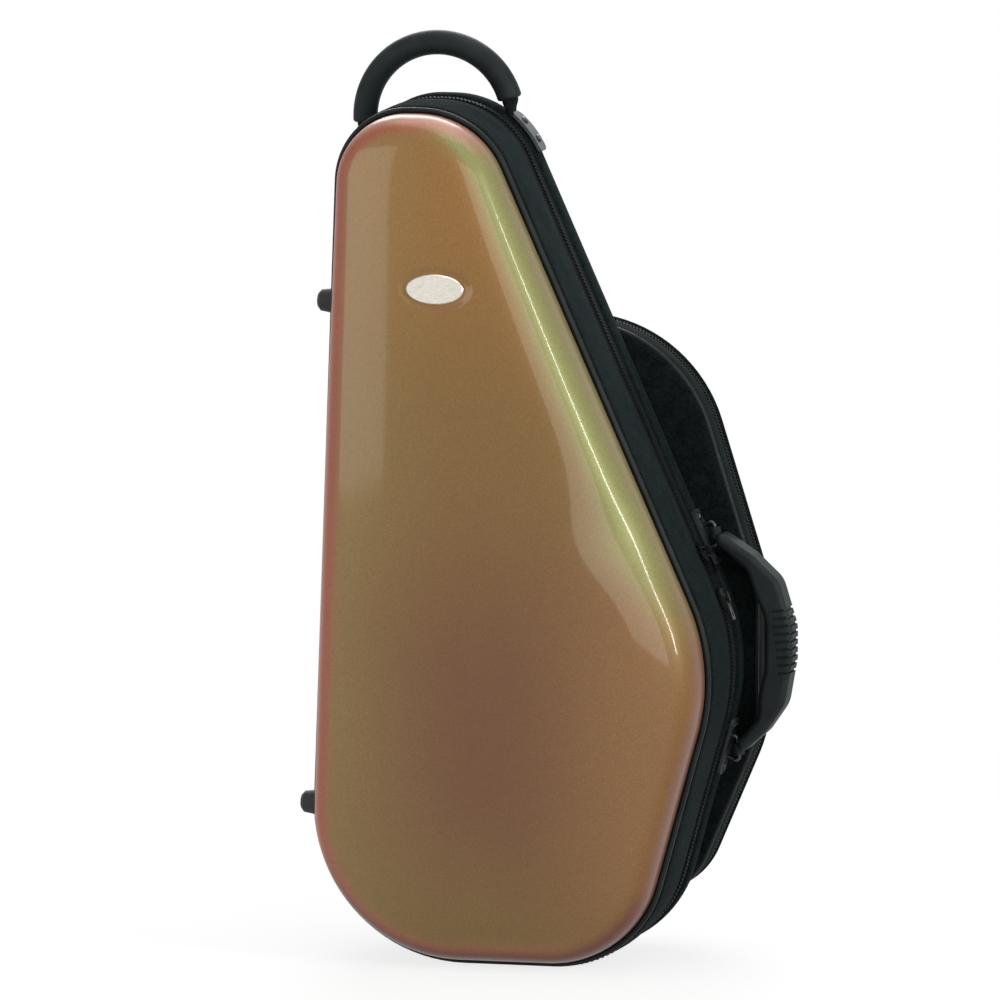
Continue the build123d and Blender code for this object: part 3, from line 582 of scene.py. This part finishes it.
def shellPiece(name, outerInset, innerInset, looks, nodeName, dished=False):
    # the second look, if there is one, is for the inside and the rim
    steps = shellSizes["rings"]
    rings = [shellSizes["reach"] * (1 - math.cos(math.pi / 2 * step / steps)) for step in range(steps + 1)]
    outer, outerNormals, outerFaces, count = shellLayer(rings, outerInset, dished)
    inner, innerNormals, innerFaces, _ = shellLayer(rings[::3], innerInset, False)
    first = len(outer)
    places = np.concatenate([outer, inner])
    normals = np.concatenate([outerNormals, -innerNormals])
    faces = outerFaces + [tuple(first + i for i in face) for face in innerFaces]
    faces = [turnedOut(face, places, normals) for face in faces]
    rim = [(i, (i + 1) % count, first + (i + 1) % count, first + i) for i in range(count)]
    back = np.tile((0.0, 1.0, 0.0), (len(places), 1))
    faces += [turnedOut(face, places, back) for face in rim]
    mesh = bpy.data.meshes.new(name)
    mesh.from_pydata([tuple(p * mm) for p in places], [], faces)
    mesh.validate()
    mesh.shade_smooth()
    mesh.normals_split_custom_set_from_vertices([tuple(n) for n in normals])
    piece = bpy.data.objects.new(name, mesh)
    bpy.context.scene.collection.objects.link(piece)
    dress(piece, *looks)
    for polygon in mesh.polygons:
        polygon.material_index = len(looks) - 1 if max(polygon.vertices) >= first else 0
    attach(piece, "lid")
    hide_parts(nodeName)
    return piece


shellPiece("lacqueredShell", 0.0, shellSizes["wall"], ["shellLacquer", "bareShell"], "front_shell",
           dished=True)
liningFace = shellSizes["wall"] + shellSizes["liningGap"]
lining = shellPiece("plushLining", liningFace, liningFace + shellSizes["liningThick"], ["plushFabric"],
                    "lid_lining")
dress(cadNodes["badge_plate"], "badgeMetal")


# Foam cradle

cradleSizes = {
    "blocks": ("top_block", "left_rail", "neck_block", "bell_block", "bow_block", "centre_block", "base"),
    "voxel": 2.0, "relax": 0.5, "passes": 6,
}


def cradleBlock(block):
    # a CAD block with its corners rounded over, as cut foam has
    source = cadNodes["foam_" + block]
    piece = source.copy()
    piece.data = source.data.copy()
    piece.name = "cradle_" + block
    piece.parent = None
    for key in list(piece.keys()):
        del piece[key]
    bpy.context.scene.collection.objects.link(piece)
    dress(piece, "plushFabric")
    remesh = piece.modifiers.new("rounding", "REMESH")
    remesh.mode, remesh.voxel_size, remesh.use_smooth_shade = "VOXEL", cradleSizes["voxel"] * mm, True
    relax = piece.modifiers.new("relax", "SMOOTH")
    relax.factor, relax.iterations = cradleSizes["relax"], cradleSizes["passes"]
    made = bpy.data.meshes.new_from_object(piece.evaluated_get(bpy.context.evaluated_depsgraph_get()))
    piece.modifiers.clear()
    piece.data = made
    made.name = piece.name
    made.shade_smooth()
    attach(piece, "tray")
    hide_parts("foam_" + block)


for block in cradleSizes["blocks"]:
    cradleBlock(block)
print("shell, lining and cradle done")


# Piping round the shell

pipingSizes = {"centreGrow": 2.1, "behindRim": 2.5, "radius": 2.35, "flange": 2.2}
shellCord = tubeProfile(pipingSizes["centreGrow"], depths["rim"] + pipingSizes["behindRim"],
                        pipingSizes["radius"], pipingSizes["flange"])
sweptBand("shellPiping", caseOutline, shellCord, "pipingVinyl", body="lid", slot="piping",
          replaced=["shell_piping"])


# Fabric side wall of the lid and the tray behind it

wallSizes = {"inner": -0.5, "crown": 1.1, "wrinkle": 0.9, "rounds": (2.0, 2.4), "gap": 0.1}
lidProfile = paddedProfile(wallSizes["inner"], proud, depths["pipingEnd"] + wallSizes["gap"],
                           depths["gussetEnd"], wallSizes["crown"], wallSizes["rounds"], 16)
lidWall = sweptBand("lidSideWall", caseOutline, lidProfile, "bodyFabric", wallSizes["wrinkle"], body="lid",
                    slot="body_fabric", replaced=["lid_gusset"])


def cappedShell(name, outline, rings, look, domed=0.0, **rest):
    # a tray or a lid of fabric: rings up the wall, then across to the spine, outside and back inside
    points, normals, _, _ = traceOutline(outline)
    shares = [0.03, 0.08, 0.16, 0.28, 0.42, 0.58, 0.76, 1.0]
    count = len(points)
    vertices, faces = [], []

    def addRing(places):
        vertices.extend(places)
        return list(range(len(vertices) - count, len(vertices)))

    def side(wall, level):
        made = [addRing([onOutline(point, normal, grow, y) for point, normal in zip(points, normals)])
                for grow, y in wall]
        edges = [point + normal * wall[-1][0] for point, normal in zip(points, normals)]
        for share in shares:
            lift = level + domed * math.sin(math.pi / 2 * share)
            flat = [edge.lerp(nearestOnSpine(edge, rings["spine"]), share) for edge in edges]
            made.append(addRing([(place.x, lift, place.y) for place in flat]))
        return made

    outer, inner = [side(rings[skin], level) for skin, level in zip(("outer", "inner"), rings["levels"])]
    for low, high in [*zip(outer, outer[1:]), *zip(inner, inner[1:]), (outer[0], inner[0])]:
        faces += [(low[i], low[(i + 1) % count], high[(i + 1) % count], high[i]) for i in range(count)]
    return finishPiece(name, vertices, faces, look, merged=True, sharpFrom=55, **rest)


trayRings = {
    "outer": [(2.6, 35.5), (4.0, 36.3), (4.8, 38.5), (5.2, 42.0), (5.3, 46.0), (5.1, 50.0), (4.6, 54.0),
              (3.6, 56.6), (2.0, 58.4), (-0.5, 59.0)],
    "inner": [(-0.5, 35.5), (-0.5, 44.0), (-0.5, 54.0)],
    "levels": (59.0, 54.0), "spine": [(-80, 585), (-30, 200), (20, 140)],
}
trayShell = cappedShell("trayShell", caseOutline, trayRings, "bodyFabric", body="tray", slot="body_fabric",
                        replaced=["tray_shell"])
print("side wall and tray done")


# Zips

zipSizes = {
    "recess": 2.0, "thick": 2.0, "proud": 1.7, "pitch": 3.0, "toothLength": 1.75, "reach": 4.1, "lap": 0.55,
    "seamGap": 0.2, "skip": (133.6, 567.1),  # no teeth between these heights of the left wall
}


def tapeBand(name, outline, surface, start, end, body, replaced):
    top, bottom = surface - zipSizes["recess"], surface - zipSizes["recess"] - zipSizes["thick"]
    profile = [(bottom, start, 0), (bottom, end, 0), (top - 0.5, end, 0), (top, end - 0.5, 0)]
    profile += [(top + 0.15 * (step % 2), end + (start - end) * step / 10, 0) for step in range(1, 10)]
    profile += [(top, start + 0.5, 0), (top - 0.5, start, 0)]
    sweptBand(name, outline, profile, "zipTapeFabric", body=body, slot="zip_tape", replaced=[replaced])


def sampleRun(trace, run):
    # the point and the outward normal at a distance round the outline
    points, normals, runs, total = trace
    run %= total
    index = int(np.searchsorted(runs, run, side="right")) - 1
    nextRun = runs[index + 1] if index + 1 < len(runs) else total
    share = (run - runs[index]) / (nextRun - runs[index])
    other = (index + 1) % len(points)
    return points[index].lerp(points[other], share), normals[index].lerp(normals[other], share).normalized()


def toothRow(name, outline, surface, seam, side, body, replaced, pitch, skip):
    # one row of moulded teeth; side is -1 in front of the seam and 1 behind it
    trace = traceOutline(outline, 2.0, 2.0)
    total = trace[3]
    count = round(total / pitch)
    base = surface - zipSizes["recess"]
    near, far = seam - side * zipSizes["lap"], seam + side * zipSizes["reach"]
    middle, half = (near + far) / 2, zipSizes["toothLength"] / 2
    corners = ((-half * 0.8, near), (half * 0.8, near), (half, middle), (half * 0.7, far), (-half * 0.7, far),
               (-half, middle))
    layers = ((base - 0.3, 1.0, 0.0), (base + zipSizes["proud"] * 0.6, 1.0, 0.0),
              (base + zipSizes["proud"], 0.62, 0.35))
    vertices, faces = [], []
    for index in range(count):
        run = (index + (0.5 if side > 0 else 0.0)) * total / count
        if skip[0] < run < skip[1]:
            continue
        point, normal = sampleRun(trace, run)
        tangent = Vector((normal.y, -normal.x))
        faces += loopFaces(len(corners), len(layers), first=len(vertices))
        for grow, narrow, inset in layers:
            for along, y in corners:
                y = middle + (y - middle) * (1 - inset / abs(far - near) * 2)
                place = point + tangent * along * narrow + normal * grow
                vertices.append((place.x, y, max(place.y, 0.02)))
    finishPiece(name, vertices, faces, "zipTooth", body=body, slot="zip_teeth", replaced=[replaced])


def leftWallRuns(heights):
    # distances round the case at which its left wall reaches these heights
    points, _, runs, _ = traceOutline(caseOutline, 1.0, 1.0)
    wall = [(point.y, run) for point, run in zip(points, runs) if point.x < -100]
    return [next(run for z, run in wall if z >= height) for height in heights]


def zipRound(outline, surface, start, seam, end, halves, pitch, skip):
    # two tapes and two rows of teeth, each half on its own body
    gap = zipSizes["seamGap"]
    for (half, body), edges in zip(halves, ((start, seam - gap), (seam + gap, end))):
        tapeBand(half + "ZipTape", outline, surface, *edges, body, half + "_zip_tape")
    for (half, body), side in zip(halves, (-1, 1)):
        toothRow(half + "ZipTeeth", outline, surface, seam, side, body, half + "_zip_teeth", pitch, skip)


zipRound(caseOutline, proud, depths["gussetEnd"], depths["seam"], depths["trayStart"],
         (("lid", "lid"), ("tray", "tray")), zipSizes["pitch"], leftWallRuns(zipSizes["skip"]))


# Hinge strip of fabric down the left wall

stripSizes = {"heights": (140.6, 560.1), "half": 16.0, "thick": 1.5}


def foldingStrip(name, outline, ends, seam, half, level, thick, replaced):
    trace = traceOutline(outline, 2.0, 2.0)
    length = ends[1] - ends[0]
    runs = np.linspace(*ends, max(2, int(length / 6)))
    # more columns near the fold
    across = np.concatenate([np.linspace(-half, -3, 6), np.linspace(-2.4, 2.4, 9), np.linspace(3, half, 6)])
    loop = [(y, level + thick) for y in across] + [(y, level) for y in reversed(across)]
    vertices = []
    for run in runs:
        point, normal = sampleRun(trace, run)
        vertices += [onOutline(point, normal, grow, seam + y) for y, grow in loop]
    piece = finishPiece(name, vertices, loopFaces(len(loop), len(runs)), "webbingFabric", slot="webbing",
                        replaced=replaced)
    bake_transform(piece)


foldingStrip("hingeStrip", caseOutline, leftWallRuns(stripSizes["heights"]), depths["seam"],
             stripSizes["half"], proud, stripSizes["thick"],
             ["lid_hinge_strip", "tray_hinge_strip"])
print("zip and hinge strip done")


# Pocket on the back

pocketSizes = {
    "crown": 0.9, "wrinkle": 0.8, "wall": 3.0, "rounds": (1.6, 1.6), "gap": 0.1, "dome": 4.2, "pitch": 2.8,
    "skip": (45.0, 177.0),  # no teeth here, counted from the right end of the foot
}
pocketStrip = {"ends": (52.0, 170.0), "half": 9.0, "thick": 1.2}
pocketSpine = [(-60, 400), (-30, 300), (0, 130)]
panelRings = {
    "outer": [(-1.0, 59.0), (-0.3, 59.6), (0.0, 60.3), (-0.2, 61.0), (-0.8, 61.5)],
    "inner": [(-1.0, 59.0)],
    "levels": (61.5, 59.0), "spine": pocketSpine,
}
pocketPanel = cappedShell("pocketPanel", pocketOutline, panelRings, "pocketFabric", body="tray",
                          slot="body_fabric", replaced=["pocket_panel"])
pocketCord = tubeProfile(-0.4, depths["panelEnd"] + 2.0, 1.9, 0.9)
sweptBand("pocketPiping", pocketOutline, pocketCord, "pipingVinyl", body="tray", slot="piping",
          replaced=["pocket_piping"])
pocketProfile = paddedProfile(-pocketSizes["wall"], 0.0, depths["pocketPipingEnd"] + pocketSizes["gap"],
                              depths["pocketWallEnd"], pocketSizes["crown"], pocketSizes["rounds"], 12)
pocketWall = sweptBand("pocketWall", pocketOutline, pocketProfile, "pocketFabric", pocketSizes["wrinkle"],
                       body="tray", slot="body_fabric", replaced=["pocket_wall"])


def footRuns(span):
    # distances round the pocket along its foot, for a span counted from the right-hand corner
    points, normals, runs, _ = traceOutline(pocketOutline, 1.0, 1.0)
    corner = pocketOutline["corners"][-1][0]
    found = [run for point, normal, run in zip(points, normals, runs)
             if normal.y < -0.999 and corner - span[1] <= point.x <= corner - span[0]]
    return min(found), max(found)


zipRound(pocketOutline, 0.0, depths["pocketWallEnd"], depths["pocketSeam"], depths["flapStart"],
         (("pocket", "tray"), ("flap", "pocket_flap")), pocketSizes["pitch"], footRuns(pocketSizes["skip"]))
foldingStrip("flapHingeStrip", pocketOutline, footRuns(pocketStrip["ends"]), depths["pocketSeam"],
             pocketStrip["half"], 0.0, pocketStrip["thick"],
             ["pocket_hinge_strip", "flap_hinge_strip"])
flapRings = {
    "outer": [(-1.2, 103.0), (-0.2, 103.6), (0.5, 105.0), (0.6, 106.5), (0.2, 107.6), (-1.2, 108.6),
              (-3.0, 109.2)],
    "inner": [(-3.0, 103.0), (-3.0, 105.0), (-4.0, 106.4)],
    "levels": (109.5, 106.5), "spine": pocketSpine,
}
pocketFlap = cappedShell("pocketFlap", pocketOutline, flapRings, "pocketFabric", pocketSizes["dome"],
                         body="pocket_flap", slot="body_fabric", replaced=["pocket_flap"])
print("pocket done")


# Stitching along the seams

stitchSizes = {"pitch": 4.2, "length": 2.7, "radius": 0.28, "sides": 6}
stitchRows = {  # outline, how far out of it, depth, body
    "lidFrontStitch": (caseOutline, 5.0, -50.5, "lid"),
    "lidRearStitch": (caseOutline, 5.0, 2.5, "lid"),
    "trayStitch": (caseOutline, 4.9, 39.5, "tray"),
    "pocketFrontStitch": (pocketOutline, 0.35, 68.6, "tray"),
    "pocketRearStitch": (pocketOutline, 0.35, 86.8, "tray"),
}


def stitchRow(name, outline, grow, y, body):
    trace = traceOutline(outline, 3.0, 3.0)
    count = int(trace[3] / stitchSizes["pitch"])
    sides = stitchSizes["sides"]
    rings = ((-0.5, 0.35), (-0.25, 1.0), (0.25, 1.0), (0.5, 0.35))  # along the stitch, how thick
    vertices, faces = [], []
    for index in range(count):
        point, normal = sampleRun(trace, index * trace[3] / count)
        if normal.y < -0.98:
            continue  # none underneath
        tangent = Vector((normal.y, -normal.x))
        faces += loopFaces(sides, len(rings), first=len(vertices))
        for along, size in rings:
            for corner in range(sides):
                angle, radius = 2 * math.pi * corner / sides, size * stitchSizes["radius"]
                place = point + tangent * along * stitchSizes["length"]
                place += normal * (grow + radius * math.cos(angle))
                vertices.append((place.x, y + radius * math.sin(angle), place.y))
    finishPiece(name, vertices, faces, "stitchThread", body=body, slot="body_fabric")


for name, row in stitchRows.items():
    stitchRow(name, *row)
print("stitching done")


# Webbing: straps of even width and rounded edges along a line

def webbingStrap(name, line, sideways, width, thick, body=None, replaced=(), swell=None):
    points = [Vector(p) for p in line]
    sideways = Vector(sideways)
    edge, steps = thick / 2, 12
    loop = []  # once across one face, with ribs, then the other
    for step in range(steps + 1):
        share = -1 + 2 * step / steps
        loop.append((share * (width / 2 - edge * 0.6), edge * (1.0 + 0.10 * (step % 2))))
    loop.append((width / 2, 0.0))
    loop += [(-a, -b) for a, b in loop]
    vertices = []
    for index, point in enumerate(points):
        before, after = points[max(index - 1, 0)], points[min(index + 1, len(points) - 1)]
        tangent = (after - before).normalized()
        outward = tangent.cross(sideways).normalized()
        fatter = swell(point) if swell else 1.0
        for across, out in loop:
            narrowed = math.sqrt(max(1 - (across / width * 2) ** 2, 0)) if fatter > 1 else 1
            out *= 1 + (fatter - 1) * narrowed
            vertices.append(tuple(point + sideways * across + outward * out))
    piece = finishPiece(name, vertices, loopFaces(len(loop), len(points)), "webbingFabric", body=body,
                        slot="webbing", replaced=replaced)
    return piece


def curvedLine(corners, spacing=1.5):
    # a smooth line through points, as a Catmull-Rom curve
    knots = [Vector(c) for c in corners]
    knots = [knots[0] * 2 - knots[1], *knots, knots[-1] * 2 - knots[-2]]
    line = []
    for a, b, c, d in zip(knots, knots[1:], knots[2:], knots[3:]):
        steps = max(2, round((c - b).length / spacing))
        for step in range(steps):
            t = step / steps
            line.append(0.5 * (2 * b + (c - a) * t + (2 * a - 5 * b + 4 * c - d) * t * t
                               + (3 * b - 3 * c + d - a) * t ** 3))
    return [*line, knots[-2]]


# Top handle: each strap swells to fill the end of the tube

handleSizes = {
    "y": 45.5, "width": 18.0, "thick": 2.0, "swell": 4.6, "swellReach": 9.0,
    "crownCentre": (-73.038, 592.0), "crownRadius": 70.0, "crownTurn": (24.5, 51.7),
    "wallFrom": (-155.3, 331.2), "wallLean": 0.03667, "wallHeights": (571.0, 607.0), "wallOut": 1.1,
}
handleStraps = {  # where the tube begins, the line's last points, and the part of it that bends
    "rightHandleStrap": {"tube": (-28.4, 663.5), "bend": ((-26.3, 651.3), (-28.5, 663.0)),
                         "free": ((-27.3, 655.0), (-28.2, 660.5), (-28.4, 664.0), (-30.2, 671.0))},
    "leftHandleStrap": {"tube": (-144.2, 643.0), "bend": ((-143.4, 608.0), (-144.1, 638.0)),
                        "free": ((-143.9, 618.0), (-144.3, 630.0), (-144.2, 643.0), (-143.6, 648.0))},
}


def strapUnderPlate(name):
    # the line of the strap where it lies on the case, under its plate
    sizes = handleSizes
    if name == "leftHandleStrap":
        (x, foot), lean = sizes["wallFrom"], sizes["wallLean"]
        return [(x + (z - foot) * lean + sizes["wallOut"], z) for z in np.linspace(*sizes["wallHeights"], 8)]
    centre, radius = Vector(sizes["crownCentre"]), sizes["crownRadius"] + (proud + sizes["thick"] / 2)
    turns = np.radians(np.linspace(*sizes["crownTurn"], 12))
    return [centre + Vector((math.cos(turn), math.sin(turn))) * radius for turn in turns]


def handleStrap(name, strap):
    y = handleSizes["y"]

    def swell(point):
        below = max(strap["tube"][1] - point.z, 0.0)
        return 1 + handleSizes["swell"] * math.exp(-(below / handleSizes["swellReach"]) ** 2)

    line = [(x, y, z) for x, z in [*strapUnderPlate(name), *strap["free"]]]
    piece = webbingStrap(name, curvedLine(line), (0, 1, 0), handleSizes["width"], handleSizes["thick"],
                         replaced=["top_handle_webbing", "top_handle_tails"], swell=swell)
    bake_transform(piece)


for name, strap in handleStraps.items():
    handleStrap(name, strap)


# Tabs of the strap rings, and the strap that holds the instrument

tabSizes = {"width": 16.0, "thick": 1.6, "length": 24.0, "bar": 1.8, "slack": 0.08, "centre": 3.48}
ringTabs = {  # where the tab is sewn on, which way it hangs, outwards, sideways
    "upperRingTab": ((-80.0, 59.0, 610.0), (0, 0, -1), (0, 1, 0), (1, 0, 0)),
    "lowerRingTab": ((-158.14, 45.5, 178.05), (-0.0366, 0, -0.9993), (-0.9993, 0, 0.0366), (0, 1, 0)),
}


def ringTab(name, place, down, out, sideways):
    place, down, out = Vector(place), Vector(down), Vector(out)
    thick, length, bar = tabSizes["thick"], tabSizes["length"], tabSizes["bar"]

    def sewn(below, lift):
        return place - down * below + out * lift

    line = [sewn(length, thick * 0.5), sewn(length * 0.5, thick * 0.5), sewn(5.0, thick * 0.55)]
    around = bar + tabSizes["slack"] + thick / 2  # middle of the webbing where it goes round the bar
    for angle in range(-140, 91, 23):
        turn = math.radians(angle)
        line.append(place + out * tabSizes["centre"] + down * (around * math.cos(turn))
                    + out * (around * math.sin(turn)))
    line += [sewn(5.5, thick * 1.6 + bar), sewn(10, thick * 1.6), sewn(length - 4, thick * 1.6)]
    webbingStrap(name, curvedLine(line, 1.2), sideways, tabSizes["width"], thick, body="tray",
                 replaced=["ring_tabs"])


for name, tab in ringTabs.items():
    ringTab(name, *tab)
strapSizes = {"ends": (-134, 2), "height": 492.4, "y": 18.2, "sag": 0.6, "width": 25.0, "thick": 1.4}
strapStart, strapLength = strapSizes["ends"][0], strapSizes["ends"][1] - strapSizes["ends"][0]
strapLine = []
for x in np.linspace(*strapSizes["ends"], 24):
    sag = strapSizes["sag"] * math.sin(math.pi * (x - strapStart) / strapLength)
    strapLine.append((x, strapSizes["y"] - sag, strapSizes["height"]))
webbingStrap("instrumentStrap", strapLine, (0, 0, 1), strapSizes["width"], strapSizes["thick"], body="tray",
             replaced=["instrument_strap"])
print("straps done")


# Hard pieces that keep their CAD form

finishes = {
    "gripSoftTouch": ("top_handle_grip", "side_handle_grip"),
    "anchorPlate": ("top_handle_plates",),
    "sidePlate": ("side_handle_plates",),
    "zipMetal": ("top_handle_rivets", "side_handle_rivets", "side_handle_staples", "upper_slider",
                 "upper_pull", "lower_slider", "lower_pull", "pocket_slider", "pocket_pull"),
    "zipTooth": ("zip_end_stops",),
    "nickelPlate": ("upper_strap_ring", "lower_strap_ring", "lid_foot_screws", "tray_foot_screws"),
    "footRubber": ("lid_lower_foot", "lid_upper_foot", "tray_lower_foot", "tray_upper_foot"),
}
for look, nodeNames in finishes.items():
    for nodeName in nodeNames:
        dress(cadNodes[nodeName], look)
print("hard pieces finished")


# Floor, light and camera

stageSizes = {
    "floor": 60.0, "sink": 0.0004, "colour": (0.80, 0.80, 0.80), "rough": 0.9,
    "haze": (0.80, 1.0), "fade": (0.35, 1.1),  # how white the floor is seen, near and far
    "world": (0.40, 1.0),  # on the pieces, and seen
}


def seenDirectly(tree):
    # 1 where the camera sees it, itself or in a mirror or through glass
    path = tree.nodes.new("ShaderNodeLightPath").outputs
    mirrored = mathNode(tree, "MAXIMUM", path["Is Camera Ray"], path["Is Glossy Ray"])
    return mathNode(tree, "MAXIMUM", mirrored, path["Is Transmission Ray"])


floorMesh = bpy.data.meshes.new("floor")
half = stageSizes["floor"] / 2
floorCorners = [(-half, -half, 0), (half, -half, 0), (half, half, 0), (-half, half, 0)]
floorMesh.from_pydata(floorCorners, [], [(0, 1, 2, 3)])
floor = bpy.data.objects.new("floor", floorMesh)
floor.location.z = -stageSizes["sink"]
bpy.context.scene.collection.objects.link(floor)
floorLook = newMaterial("paleFloor", stageSizes["colour"], stageSizes["rough"])
materials["paleFloor"], floorTree, floorShader = floorLook
white = addNode(floorTree, "ShaderNodeEmission", Color=(1, 1, 1, 1), Strength=1.0)
radius = addNode(floorTree, "ShaderNodeVectorMath", {"operation": "LENGTH"})
floorTree.links.new(objectPlace(floorTree), radius.inputs[0])
fade = mapped(floorTree, radius.outputs["Value"], stageSizes["fade"], stageSizes["haze"])
blended = floorTree.nodes.new("ShaderNodeMixShader")
for index, output in enumerate((mathNode(floorTree, "MULTIPLY", fade, seenDirectly(floorTree)),
                                floorShader.outputs[0], white.outputs[0])):
    floorTree.links.new(output, blended.inputs[index])
floorTree.links.new(blended.outputs[0], floorTree.nodes["Material Output"].inputs["Surface"])
dress(floor, "paleFloor")

world = bpy.data.worlds.new("studio")
bpy.context.scene.world = world
world.use_nodes = True
background = world.node_tree.nodes["Background"]
background.inputs["Color"].default_value = (1, 1, 1, 1)
worldTree = world.node_tree
brightness = mapped(worldTree, seenDirectly(worldTree), (0.0, 1.0), stageSizes["world"], eased=False)
worldTree.links.new(brightness, background.inputs["Strength"])

lamps = {  # place, what it looks at and size in metres, power in watts
    "leftWindow": {"place": (-2.46, -2.38, 1.12), "at": (0, 0, 1.12), "size": (2.6, 2.1), "power": 34,
                   "colour": (1.0, 0.98, 0.95)},
    "frontPanel": {"place": (0.95, -2.05, 1.02), "at": (0, 0, 1.02), "size": (1.25, 1.8), "power": 19,
                   "colour": (0.97, 1.0, 0.93)},
    "rightWindow": {"place": (3.1, -1.45, 1.34), "at": (0, 0, 0.68), "size": (0.22, 1.7), "power": 66,
                    "colour": (0.97, 1.0, 0.98)},
    "overhead": {"place": (0.2, 0.2, 2.6), "at": (0, 0, 0.35), "size": (2.2, 2.0), "power": 34,
                 "colour": (1.0, 1.0, 1.0)},
    "behind": {"place": (-0.7, 2.5, 2.1), "at": (0, 0, 0.35), "size": (1.8, 1.2), "power": 60,
               "colour": (0.96, 0.98, 1.0)},
}
for name, lamp in lamps.items():
    light = bpy.data.lights.new(name, "AREA")
    light.shape, light.size, light.size_y = "RECTANGLE", *lamp["size"]
    light.energy, light.color = lamp["power"], lamp["colour"]
    lit = bpy.data.objects.new(name, light)
    lit.location = lamp["place"]
    aim = Vector(lamp["at"]) - lit.location
    lit.rotation_euler = aim.to_track_quat("-Z", "Y").to_euler()
    bpy.context.scene.collection.objects.link(lit)

cameraSizes = {"azimuth": 14.2, "elevation": 7.70, "roll": -0.05, "distance": 12.0,
               "aim": (-0.0102, -0.0593, 0.3637), "sensor": 36.0, "scale": 1.2956}
camera = bpy.data.objects.new("photoView", bpy.data.cameras.new("photoView"))
camera.data.sensor_width = cameraSizes["sensor"]
camera.data.lens = cameraSizes["scale"] * cameraSizes["sensor"] * cameraSizes["distance"]
turn, tilt = math.radians(cameraSizes["azimuth"]), math.radians(cameraSizes["elevation"])
away = Vector((math.sin(turn) * math.cos(tilt), -math.cos(turn) * math.cos(tilt), math.sin(tilt)))
camera.location = Vector(cameraSizes["aim"]) + away * cameraSizes["distance"]
looking = (-away).to_track_quat("-Z", "Y")
camera.rotation_euler = (looking @ Quaternion((0, 0, 1), math.radians(cameraSizes["roll"]))).to_euler()
bpy.context.scene.collection.objects.link(camera)
bpy.context.scene.camera = camera
bpy.context.scene.view_settings.view_transform = "Standard"
print("stage set")
